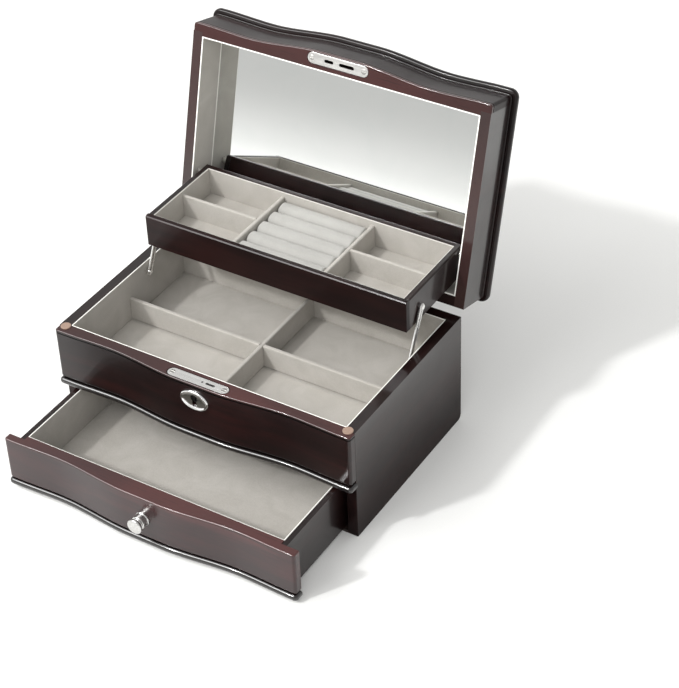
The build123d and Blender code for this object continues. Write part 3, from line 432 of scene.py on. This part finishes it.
def suede(name, deep, pale, rim=None, foot=None, ivory=(0.90, 0.89, 0.84)):
    """Short-napped cloth whose shade drifts where it was brushed. rim is (normal, height): card
    past that height along the normal is bare and ivory, and so is card below the foot's height."""
    material, tree, shader, where = surface(name)
    cloth = put(tree, "ShaderNodeGroup", {}, node_tree=nap)
    tree.links.new(where, cloth.inputs["Vector"])
    colour = mix(tree, spread(tree, cloth.outputs["Shade"], 0.3, 0.7), (*deep, 1), (*pale, 1))
    if rim:
        up = put(tree, "ShaderNodeVectorMath", {0: where, 1: rim[0]}, operation="DOT_PRODUCT")
        bare = spread(tree, up.outputs["Value"], rim[1] - 0.0001, rim[1] + 0.0001)
        if foot:
            under = spread(tree, up.outputs["Value"], foot + 0.0001, foot - 0.0001)
            bare = calc(tree, "MAXIMUM", bare, under)
        colour = mix(tree, bare, colour, (*ivory, 1))
    tree.links.new(colour, shader.inputs["Base Color"])
    tree.links.new(spread(tree, cloth.outputs["Shade"], 0.3, 0.7, 0.82, 0.95), shader.inputs["Roughness"])
    shader.inputs["Specular IOR Level"].default_value = 0.15
    shader.inputs["Sheen Weight"].default_value = 0.15
    shader.inputs["Sheen Roughness"].default_value = 0.6
    bump = put(tree, "ShaderNodeBump", {"Strength": 0.25, "Distance": 0.0002,
                                        "Height": cloth.outputs["Height"]})
    tree.links.new(bump.outputs[0], shader.inputs["Normal"])
    return material


DEEP = (0.365, 0.344, 0.310)
PALE = (0.450, 0.429, 0.395)
plain_suede = suede("grey suede", DEEP, PALE)
paint(suede("case lining", DEEP, PALE, (UP, 0.1056)), "case_wall_lining")

# ==== Padded floor of the case ===================================================
# A sheet of soft foam under the same suede, tucked down along the walls and
# pressed in under the dividers, so each of the four floors is a shallow cushion.
def cushion(name, wide, front, back, low, high, body, node, lines_x=(), lines_y=(), drop=1.3, reach=7.0):
    """A pad from minus wide to wide, whose top sinks near its edges and near the lines under the
    dividers: height is the top less drop times e to the minus distance over a third of reach,
    with a slow ripple of about a tenth; its skirt goes straight down to the board. Points lie
    two millimetres apart."""
    across = int(wide) + 1
    deep = int((back - front) / 2) + 1
    x, y = np.meshgrid(np.linspace(-wide, wide, across), np.linspace(front, back, deep), indexing="ij")
    near = np.minimum.reduce([x + wide, wide - x, y - front, back - y])
    for line in lines_x:
        near = np.minimum(near, np.maximum(np.abs(x - line) - 1.8, 0))
    for line in lines_y:
        near = np.minimum(near, np.maximum(np.abs(y - line) - 1.8, 0))
    ripple = 0.12 * np.sin(x / 17.0 + y / 23.0) * np.sin(y / 19.0 - x / 31.0)
    z = high - drop * np.exp(-near / (reach * 0.35)) + ripple * (1 - np.exp(-near / reach))
    z = np.minimum(z, high)
    count, row = x.shape
    top = np.stack([x, y, z], -1).reshape(-1, 3)
    under = np.stack([x, y, np.full_like(z, low)], -1).reshape(-1, 3)
    i, j = np.meshgrid(np.arange(count - 1), np.arange(row - 1), indexing="ij")
    quad = np.stack([i * row + j, (i + 1) * row + j, (i + 1) * row + j + 1, i * row + j + 1], -1)
    quad = quad.reshape(-1, 4)
    edge = np.concatenate([np.arange(count) * row, (count - 1) * row + np.arange(1, row),
                           np.arange(count - 1)[::-1] * row + row - 1, np.arange(1, row - 1)[::-1]])
    after = np.roll(edge, -1)
    size = len(top)
    skirt = np.stack([edge, edge + size, after + size, after], -1)
    mesh = bpy.data.meshes.new(name)
    faces = np.concatenate([quad, quad[:, ::-1] + size, skirt])
    mesh.from_pydata((np.concatenate([top, under]) * 0.001).tolist(), [], faces.tolist())
    pad = piece(name, mesh, plain_suede, body, "suede_lining", node, weighted=False, sharp=60)


cushion("case floor pad", 129.9, -75.1, 76.9, 60.0, 64.0, "case", "case_floor_pad", (2.5,), (0.9,))

# ==== Dividers of the case =======================================================
# Two thin boards wrapped in suede, halved over each other, standing on the pad.
paint(plain_suede, "case_long_divider", "case_cross_divider")

# ==== Bumper pads ================================================================
# Two discs of tan leather, cut with a punch and glued on the front corners of the
# rim; the lid lands on them.
def hide(name, deep, pale):
    """Smooth leather: fine pebbles between two tans."""
    material, tree, shader, where = surface(name)
    pebble = noise(tree, where, 1800.0, (1, 1, 1), 2.0, 0.5)
    tan = mix(tree, spread(tree, pebble, 0.35, 0.65), (*deep, 1), (*pale, 1))
    tree.links.new(tan, shader.inputs["Base Color"])
    tree.links.new(spread(tree, pebble, 0.3, 0.7, 0.5, 0.65), shader.inputs["Roughness"])
    bump = put(tree, "ShaderNodeBump", {"Strength": 0.3, "Distance": 0.0001, "Height": pebble})
    tree.links.new(bump.outputs[0], shader.inputs["Normal"])
    return material


paint(hide("tan leather", (0.27, 0.18, 0.135), (0.345, 0.235, 0.18)), "bumper_pads")

# ==== Hinges =====================================================================
# Two butt hinges of bright steel: leaves let into the rims of case and lid, a pin
# pushed through their knuckles, and small countersunk screws.
def steel(name, colour, rough, scale=300.0, stretch=(1, 1, 1)):
    """Bare or plated metal with fine finishing lines and a little haze."""
    material, tree, shader, where = surface(name)
    lines = noise(tree, where, scale, stretch, 3.0, 0.6)
    hands = put(tree, "ShaderNodeGroup", {}, node_tree=haze)
    tree.links.new(where, hands.inputs["Vector"])
    darker = tuple(0.86 * c for c in colour)
    finish = mix(tree, spread(tree, lines, 0.3, 0.7), (*darker, 1), (*colour, 1))
    tree.links.new(finish, shader.inputs["Base Color"])
    dull = calc(tree, "MULTIPLY_ADD", hands.outputs["Smudge"], 0.06, rough)
    tree.links.new(calc(tree, "MULTIPLY_ADD", lines, 0.10, dull), shader.inputs["Roughness"])
    shader.inputs["Metallic"].default_value = 1.0
    return material


hinge_steel = steel("hinge steel", (0.58, 0.57, 0.55), 0.22)
paint(hinge_steel, "hinge_case_leaves", "hinge_lid_leaves", "hinge_pins", "hinge_case_screws",
      "hinge_lid_screws")

# ==== Lock and its top plate =====================================================
# A mortise lock behind the front board: a nickelled plate with round ends let into
# the rim, screwed at both ends, a slot for the bolt, and the bolt below it. The lock's body,
# bolt and barrel are painted near black, painted shade seen through the slots and the keyhole.
BRUSHED = (0.05, 1, 1)
nickel = steel("nickel plate", (0.95, 0.94, 0.92), 0.20, 420.0, BRUSHED)
# The plate screws' steel is painted darker than the hinge screws' steel: painted shade that holds down the
# lamps' glare on them.
screw_steel = steel("screw steel", (0.36, 0.355, 0.34), 0.45)
# Steel painted near black: painted shade for the lock's insides seen through the holes.
shade_black_steel = steel("steel painted black for shade", (0.05, 0.046, 0.045), 0.5)
PLATE_LONG = 56.9
PLATE_WIDE = 9.3
SCREWS = (-24.4, 24.4)


def join(name, meshes):
    """Several meshes as one."""
    points, faces, start = [], [], 0
    for mesh in meshes:
        co = np.empty(len(mesh.vertices) * 3)
        mesh.vertices.foreach_get("co", co)
        points.append(co.reshape(-1, 3))
        faces += [[v + start for v in face.vertices] for face in mesh.polygons]
        start += len(mesh.vertices)
    whole = bpy.data.meshes.new(name)
    whole.from_pydata(np.concatenate(points).tolist(), [], faces)
    return whole


def plate(name, finish, holes, body, node, screw_node, place):
    """A plate with round ends whose rim is softened; slots are cut right through it, and a
    screw sits at each end: a low dome with a cut across it."""
    plan = slot_plan((0, LOCK_Y), PLATE_LONG, PLATE_WIDE)
    middle = np.array([0, LOCK_Y])
    size = np.array([PLATE_LONG, PLATE_WIDE])
    rows = []
    for z, inset in ((0, 0), (0.95, 0), (1.15, 0.08), (1.25, 0.28)):
        grown = (plan - middle) * (size - 2 * inset) / size + middle
        rows.append(np.column_stack([grown, np.full(len(plan), z)]))
    sheet = loft(name, place(np.array(rows)))
    tools = [loft("slot", place(prism(shape, -1, 3))) for shape in holes]
    piece(name, cut(sheet, *tools), finish, body, "nickel_plate", node, sharp=30)
    heads = []
    turn = np.linspace(0, 2 * pi, 25)[:-1]
    dome = [(2.3, 0.6), (2.3, 1.28), (2.1, 1.42), (1.6, 1.52), (0.8, 1.60), (0.02, 1.62)]
    for at in SCREWS:
        rows = [np.stack([at + r * np.cos(turn), LOCK_Y + r * np.sin(turn), np.full(24, h)], -1)
                for r, h in dome]
        blade = np.array([(at - 2.6, LOCK_Y - 0.3), (at + 2.6, LOCK_Y - 0.3),
                          (at + 2.6, LOCK_Y + 0.3), (at - 2.6, LOCK_Y + 0.3)])
        driven = loft("blade", place(prism(blade, 1.2, 2)))
        heads.append(cut(loft("screw", place(np.array(rows))), driven))
    both = join(name + " screws", heads)
    piece(name + " screws", both, screw_steel, body, "nickel_plate", screw_node, sharp=30)


def on_rim(rows):
    """Heights on the lock plate counted from the floor of its mortise in the case rim."""
    return rows + np.array([0, 0, MORTISE_FLOOR])


bolt_slot = slot_plan((11.5, LOCK_Y), 8.6, 2.2)
pin_hole = slot_plan((4.0, LOCK_Y), 1.81, 1.8)
plate("lock plate", nickel, [bolt_slot, pin_hole], "case", "lock_top_plate", "lock_plate_screws", on_rim)
paint(shade_black_steel, "lock_body", "lock_bolt", "lock_barrel")

# ==== Escutcheon =================================================================
# An oval stamped from thin metal and chromed: a rounded rim, a shallow dish, and a
# keyhole cut through its middle on the lock's barrel.
chrome = steel("chrome", (0.83, 0.83, 0.83), 0.04, 120.0)
OVAL_WIDE = 13.25
OVAL_HIGH = 9.3
OVAL_BACK = -91.06
turn = np.linspace(0, 2 * pi, 97)[:-1]
profile = [(0.0, 0.0), (0.0, 0.9), (0.35, 1.5), (0.9, 1.85), (1.5, 1.8), (2.1, 1.45), (2.8, 1.15),
           (5.0, 0.95), (8.6, 0.9)]
rows = [np.stack([(OVAL_WIDE - i) * np.cos(turn), np.full(96, OVAL_BACK - out),
                  LOCK_Z + (OVAL_HIGH - i) * np.sin(turn)], -1) for i, out in profile]
oval = loft("escutcheon", np.array(rows))
key_head = np.stack([3.3 * np.cos(turn), np.zeros(96), 93.0 + 3.3 * np.sin(turn)], -1)
key_tail = np.array([(-2.0, 0, 84.9), (2.0, 0, 84.9), (2.0, 0, 92.0), (-2.0, 0, 92.0)])
keyhole = [loft("key", np.array([shape + (0, y, 0) for y in (-94, -89)])) for shape in (key_head, key_tail)]
piece("escutcheon", cut(oval, *keyhole), chrome, "case", "chrome_fittings", "escutcheon", sharp=50)

# ==== Lid rails ==================================================================
# Four boards like the upper part of the case. The front one follows the same wave
# and carries a rounded bead along its rim, set off by a narrow quirk.
HINGE = np.array([90.3, 107.4])
OPEN = radians(105)


def opened(rows):
    """Points drawn on the closed lid, turned about the hinge line to where it stands open."""
    y, z = rows[..., 1] - HINGE[0], rows[..., 2] - HINGE[1]
    return np.stack([rows[..., 0], HINGE[0] + y * cos(OPEN) + z * sin(OPEN),
                     HINGE[1] - y * sin(OPEN) + z * cos(OPEN)], -1)


LID = 107.0
steps = ease(LID, 1.1, -1, 6) + ease(LID + 3.2, 0.7, 1, 5)
steps += [(LID + 3.3, 0.75), (LID + 3.85, 0.75), (LID + 3.95, 0.25), (LID + 4.3, 0.0), (LID + 31.0, 0.0)]
rail = loft("lid front rail", opened(front_board(CASE_HALF, FRONT, 2.6, CASE_ENDS, steps, CASE_LAP)))
mortise = loft("mortise", opened(prism(slot_plan((0, LOCK_Y), 57.9, 10.3), LID - 1, LID + 1.2)))
pocket = loft("pocket", opened(prism(slot_plan((0.5, LOCK_Y), 31, 4.4), LID, LID + 10)))
OUT_OF_LID = (0.0, -sin(OPEN), -cos(OPEN))
RIM = float(np.dot(opened(np.array([0.0, 0.0, LID]))[1:], OUT_OF_LID[1:])) * 0.001
# The lid front's rim is painted redder, a painted glow, and its quirk near black, painted shade.
lid_front_wood = lacquer("lacquer on the lid front", CROSSWISE, STAIN, FRONT_RED, 0.5, 0.20,
                         (OUT_OF_LID, RIM - 0.0042, RIM_GLOW_RED), quirk=(RIM - 0.0041, RIM - 0.0031))
# The lid sides' rim is painted redder too, a painted glow of light through the lacquer.
lid_side_wood = lacquer("lacquer on the lid sides", LENGTHWISE, STAIN, MAHOGANY, 0.35, 0.85,
                        (OUT_OF_LID, RIM - 0.0006, (0.032, 0.0105, 0.0095)))
piece("lid front rail", cut(rail, mortise, pocket), lid_front_wood, "lid", "lacquered_wood",
      "lid_front_rail")
paint(lid_side_wood, "lid_left_rail", "lid_right_rail")
paint(cross_wood, "lid_back_rail")
soften(SIDE_EDGE, "lid_left_rail", "lid_right_rail", "lid_back_rail")

# ==== Lid top ====================================================================
# One board over all four rails: a thick rounded edge that overhangs, and under it a
# quirk, a fine bead and a second quirk worked in the same edge.
def round_plan(out, corner):
    """Closed plan of the lid top grown by out: the serpentine in front, square behind, with
    rounded corners."""
    wide, back = CASE_HALF + out, 87 + out
    x, y = front_line(wide, FRONT - out, corner)
    t = np.linspace(0, pi / 2, 9)
    right = np.stack([wide - corner + corner * np.cos(t), back - corner + corner * np.sin(t)], -1)
    left = np.stack([-wide + corner - corner * np.sin(t), back - corner + corner * np.cos(t)], -1)
    return np.concatenate([np.stack([x, y], -1), right, left])


layers = [(0.0, -0.8, 2.0), (0.75, -0.8, 2.0), (0.9, 0.4, 3.0), (1.15, 0.85, 3.4), (1.5, 1.0, 3.6),
          (1.85, 0.85, 3.4), (2.1, 0.4, 3.0), (2.2, -0.3, 2.4), (2.85, -0.3, 2.4)]
for angle in np.linspace(0, pi / 2, 7):
    drawn = 2.0 * (1 - sin(angle))
    layers.append((2.9 + 2.0 * (1 - cos(angle)), 4.8 - drawn, 7.5 - drawn))
for angle in np.linspace(0, pi / 2, 9):
    drawn = 2.8 * (1 - cos(angle))
    layers.append((9.0 - 2.8 * (1 - sin(angle)), 4.8 - drawn, 7.5 - drawn))
rows = []
for z, out, corner in layers:
    plan = round_plan(out, corner)
    rows.append(np.column_stack([plan, np.full(len(plan), LID + 31 + z)]))
top_wood = lacquer("lacquer on the lid top", CROSSWISE, (0.0045, 0.0030, 0.0029), MAHOGANY, 0.3, 0.30)
piece("lid top", loft("lid top", opened(np.array(rows))), top_wood, "lid", "lacquered_wood", "lid_top_panel")

# ==== Lid lining and mirror ======================================================
# The same suede card round the inside of the rails, ivory at its rim, holding a
# sheet of silvered glass against the lid top.
paint(suede("lid lining", DEEP, PALE, (OUT_OF_LID, RIM - 0.0004), RIM - 0.0280), "lid_wall_lining")


def silvered(name):
    """Silvered glass, made as one bright mirroring surface with the faintest wiping marks."""
    material, tree, shader, where = surface(name)
    hands = put(tree, "ShaderNodeGroup", {}, node_tree=haze)
    tree.links.new(where, hands.inputs["Vector"])
    silver = mix(tree, hands.outputs["Smudge"], (0.86, 0.87, 0.86, 1), (0.84, 0.855, 0.845, 1))
    tree.links.new(silver, shader.inputs["Base Color"])
    wiped = calc(tree, "MULTIPLY_ADD", hands.outputs["Smudge"], 0.02, 0.012)
    tree.links.new(wiped, shader.inputs["Roughness"])
    shader.inputs["Metallic"].default_value = 1.0
    return material


paint(silvered("mirror glass"), "lid_mirror")

# ==== Strike plate ===============================================================
# The lock plate's fellow in the lid rail, in a slightly rougher nickel painted darker as
# painted shade, with a long hole for the bolt and a shorter one beside it.
def in_lid(rows):
    """Heights on the strike plate counted from its mortise's floor out of the lid rail."""
    return opened(rows * np.array([1, 1, -1]) + np.array([0, 0, LID + 1.2]))


# The strike's nickel is painted darker than the lock plate's: painted shade that holds down the lamps' glare
# on it.
strike_nickel = steel("strike nickel", (0.70, 0.69, 0.67), 0.24, 420.0, BRUSHED)
short_hole = slot_plan((-8.3, LOCK_Y), 8.4, 2.6)
bolt_hole = slot_plan((8.3, LOCK_Y), 14.0, 2.8)
plate("strike plate", strike_nickel, [short_hole, bolt_hole], "lid", "strike_plate",
      "strike_plate_screws", in_lid)

# ==== Tray links and pins ========================================================
# Two nickelled strips with round ends carry the front of the tray; rivets join them
# to the case and the tray, and shouldered pins in the lid carry its back.
linkage = ("left_tray_link", "right_tray_link", "link_case_rivets", "link_tray_rivets", "lid_tray_pins")
paint(nickel, *linkage)
soften(0.0002, *linkage)

# ==== Tray =======================================================================
# A shallow box of thin lacquered boards with a chamfer round its outer rim, lined
# with the same suede card, its bare edge a darker ivory, and split by dividers
# wrapped in suede.
paint(cross_wood, "tray_front_wall", "tray_back_wall")
thin_wood = lacquer("lacquer on the thin sides", LENGTHWISE, STAIN, MAHOGANY, 0.35, 0.5)
paint(thin_wood, "tray_left_wall", "tray_right_wall")
soften(0.0004, "tray_front_wall", "tray_back_wall", "tray_left_wall", "tray_right_wall", angle=25)
tray_suede = suede("tray lining", DEEP, PALE, (UP, 0.1534), ivory=(0.66, 0.64, 0.60))
paint(tray_suede, "tray_wall_lining")
paint(plain_suede, "tray_cross_dividers", "tray_side_dividers")
cushion("tray floor pad", 119.3, 31.2, 110.6, 128.0, 129.6, "tray", "tray_floor_pad", (-44, 44),
        drop=0.6, reach=4.0)

# ==== Ring rolls =================================================================
# Five foam rolls in a greyer suede, side by side between the tray's two cross
# dividers. The cloth is drawn in at the ends of each and creases a little there.
roll_suede = suede("ring roll suede", (0.345, 0.338, 0.318), (0.405, 0.398, 0.376))
ROLLS_FRONT = 31.1
ROLLS_BACK = 110.7
ROLLS = 5
PITCH = (ROLLS_BACK - ROLLS_FRONT) / ROLLS
ROLL_RADIUS = PITCH / 2 - 0.05
ROLL_HALF = 41.8
ROLL_SHUT = 0.07
ROLL_Z = 139.1


def ring_roll(number):
    """A roll along X: its radius closes as an ellipse over the last part of each half, ROLL_SHUT,
    and loses a crease, a sine round the roll that dies away from the ends, and a slow slack. Its
    upper and lower halves are moved apart, and its flanks flattened by a power of the cosine
    under one."""
    x, t = np.meshgrid(np.sin(np.linspace(-pi / 2, pi / 2, 81)), np.linspace(0, 2 * pi, 49)[:-1],
                       indexing="ij")
    shut = np.clip((1 - np.abs(x)) / ROLL_SHUT, 0, 1)
    crease = 0.16 * np.sin(9 * t + 2.3 * number) * np.exp(-(1 - np.abs(x)) / ROLL_SHUT)
    slack = 0.10 * np.sin(7 * x + 1.7 * number) * np.sin(3 * t + number)
    radius = ROLL_RADIUS * np.sqrt(1 - (1 - shut) ** 2 * 0.92) - np.abs(crease) - np.abs(slack)
    lift = np.where(np.sin(t) > 0, 1.55, -1.55) * np.minimum(1, 6 * np.abs(np.sin(t)))
    flank = np.sign(np.cos(t)) * np.abs(np.cos(t)) ** 0.8
    middle = ROLLS_FRONT + (number + 0.5) * PITCH
    return loft("roll", np.stack([ROLL_HALF * x, middle + radius * flank,
                                  ROLL_Z + lift + radius * np.sin(t)], -1))


rolls = join("ring rolls", [ring_roll(number) for number in range(ROLLS)])
ring_rolls = piece("ring rolls", rolls, roll_suede, "tray", "ring_roll_suede", "ring_rolls",
                   sharp=80, weighted=False)

# ==== Drawer box =================================================================
# Thin lacquered sides and back behind the serpentine front, lined and padded like
# the case.
paint(thin_wood, "drawer_left_side", "drawer_right_side")
paint(cross_wood, "drawer_back")
soften(0.0003, "drawer_back")
paint(suede("drawer lining", DEEP, PALE, (UP, 0.0493)), "drawer_wall_lining")
cushion("drawer floor pad", 121.1, -154.0, -9.1, 8.4, 12.4, "drawer", "drawer_floor_pad")

# ==== Drawer front ===============================================================
# A board shaped to the same wave as the case, rolled in at its foot above its own
# glued bead. Its ends stand a tenth of a millimetre clear of the case when it is shut.
DRAWER = -166.4
DRAWER_HALF = 138
DRAWER_FOOT = 8.4
DRAWER_ENDS = DRAWER + 7.1
DRAWER_LAP = (122.2, DRAWER + 11.3)
steps = ease(DRAWER_FOOT, 3.2, -1, 9) + ease(50.0, 1.2, 1, 7)
face = loft("drawer front", front_board(DRAWER_HALF, DRAWER, 2.6, DRAWER_ENDS, steps, DRAWER_LAP))
# The drawer front's rim is painted redder, a painted glow of light through the lacquer.
drawer_wood = lacquer("lacquer on the drawer front", CROSSWISE, (0.012, 0.0045, 0.0050),
                      (0.060, 0.0130, 0.0135), 0.60, 0.68, (UP, 0.0493, RIM_GLOW_RED))
drawer_wood.node_tree.nodes["Principled BSDF"].inputs["Coat Roughness"].default_value = 0.16
piece("drawer front", face, drawer_wood, "drawer", "lacquered_wood", "drawer_front")
steps = ease(2.9, 2.4, -1, 7) + ease(DRAWER_FOOT, 2.4, 1, 7)
strip = front_board(DRAWER_HALF + 0.8, DRAWER - 1.6, 3.4, DRAWER_ENDS, steps, DRAWER_LAP)
piece("drawer bead", loft("drawer bead", strip), bead_wood, "drawer", "lacquered_wood", "drawer_bead")

# ==== Knob =======================================================================
# Turned brass, nickelled and finished satin: a base disc, a waist and a flattened
# round face, held by a screw from inside the drawer front.
KNOB_BACK = -170.46
KNOB_Z = 29
# The knob's nickel is painted darker than the plates' nickel: painted shade that holds down the lamps' glare
# on it.
satin = steel("satin nickel", (0.66, 0.655, 0.64), 0.20, 420.0)
paint(hinge_steel, "knob_screw")
profile = [(0.05, 0.0), (6.45, 0.0), (6.5, 0.9), (6.35, 1.25), (6.0, 1.5), (5.9, 1.9), (5.9, 6.3),
           (5.6, 6.8), (4.7, 7.1), (4.4, 7.5), (4.4, 8.4), (4.7, 8.8), (5.9, 9.1), (6.45, 9.4),
           (6.6, 10.0), (6.6, 11.1), (6.4, 11.6), (5.8, 11.95), (4.4, 12.2), (2.2, 12.35), (0.05, 12.4)]
turn = np.linspace(0, 2 * pi, 65)[:-1]
rows = [np.stack([r * np.cos(turn), np.full(64, KNOB_BACK - out), KNOB_Z + r * np.sin(turn)], -1)
        for r, out in profile]
piece("knob", loft("knob", np.array(rows)), satin, "drawer", "chrome_fittings", "drawer_knob", sharp=50)

# ==== Floor, light and camera ====================================================
# A sheet of paper, pale round the box and painted greyer from 0.75 m out as painted shade
# where the light falls off, one soft key light from the front left, four soft boxes and a white
# surround that greys upward. The fill and the left soft box don't show in reflections, and the
# edge soft box shows only in them.
FLOOR_HALF = 6
corners = [(-FLOOR_HALF, -FLOOR_HALF, 0), (FLOOR_HALF, -FLOOR_HALF, 0),
           (FLOOR_HALF, FLOOR_HALF, 0), (-FLOOR_HALF, FLOOR_HALF, 0)]
floor_mesh = bpy.data.meshes.new("floor")
floor_mesh.from_pydata(corners, [], [(0, 1, 2, 3)])
floor = bpy.data.objects.new("floor", floor_mesh)
bpy.context.scene.collection.objects.link(floor)
paper, tree, shader, where = surface("pale paper")
tooth = noise(tree, where, 600.0, (1, 1, 1), 2.0, 0.5)
away = put(tree, "ShaderNodeVectorMath", {0: where}, operation="LENGTH").outputs["Value"]
near = mix(tree, tooth, (0.86, 0.86, 0.845, 1), (0.90, 0.90, 0.885, 1))
# Painted shade: the paper greys from 0.75 m out where the light falls off.
falloff_shaded_paper = mix(tree, spread(tree, away, 0.75, 1.5), near, (0.58, 0.58, 0.57, 1))
tree.links.new(falloff_shaded_paper, shader.inputs["Base Color"])
shader.inputs["Roughness"].default_value = 0.9
shader.inputs["Specular IOR Level"].default_value = 0.1
floor_mesh.materials.append(paper)

world = bpy.data.worlds.new("studio")
bpy.context.scene.world = world
world.use_nodes = True
tree = world.node_tree
sky = put(tree, "ShaderNodeSeparateXYZ", {0: put(tree, "ShaderNodeTexCoord").outputs["Generated"]})
rise = spread(tree, sky.outputs["Z"], -0.1, 0.5)
surround = mix(tree, rise, (0.95, 0.95, 0.94, 1), (0.72, 0.72, 0.715, 1))
tree.links.new(surround, tree.nodes["Background"].inputs["Color"])
tree.nodes["Background"].inputs["Strength"].default_value = 1.0

key = bpy.data.lights.new("key", "SUN")
key.energy = 1.45
key.angle = radians(4)
lamp = bpy.data.objects.new("key", key)
bpy.context.scene.collection.objects.link(lamp)
lamp.rotation_mode = "QUATERNION"
lamp.rotation_quaternion = Vector((0.60, 0.97, -1.0)).to_track_quat("-Z", "Y")


def soft_box(name, place, power, wide, deep=None):
    """A soft light aimed at the middle of the box, round unless it has a depth."""
    light = bpy.data.lights.new(name, "AREA")
    light.shape = "RECTANGLE" if deep else "DISK"
    light.size = wide
    if deep:
        light.size_y = deep
    light.energy = power
    stand = bpy.data.objects.new(name, light)
    bpy.context.scene.collection.objects.link(stand)
    aim = Vector(place) - Vector((0, 0, 0.1))
    stand.matrix_world = Matrix.Translation(place) @ aim.to_track_quat("Z", "Y").to_matrix().to_4x4()
    return stand


soft_box("top soft box", (-0.7, -0.9, 1.4), 15, 1.8, 0.40)
soft_box("fill", (0.9, -1.5, 1.5), 8, 1.2).visible_glossy = False
soft_box("left soft box", (-1.5, -0.6, 0.75), 9, 0.9).visible_glossy = False
soft_box("edge soft box", (-0.95, -1.35, 1.55), 38, 1.5, 0.9).visible_diffuse = False

EYE = Vector((0.768576, -1.064230, 1.102599))
camera_data = bpy.data.cameras.new("camera")
camera_data.sensor_width = 36.0
camera_data.lens = 106.5
camera_data.clip_start = 0.05
camera_data.clip_end = 20.0
camera = bpy.data.objects.new("camera", camera_data)
bpy.context.scene.collection.objects.link(camera)
az, el, roll = radians(32.97), radians(37.925), radians(-2.406)
back = Vector((sin(az) * cos(el), -cos(az) * cos(el), sin(el)))
right = (-back).cross(Vector((0, 0, 1))).normalized()
up = right.cross(-back)
turned_right = cos(roll) * right + sin(roll) * up
turned_up = cos(roll) * up - sin(roll) * right
turned = Matrix((turned_right, turned_up, back)).transposed()
camera.matrix_world = Matrix.Translation(EYE) @ turned.to_4x4()
bpy.context.scene.camera = camera
bpy.context.scene.view_settings.view_transform = "Standard"
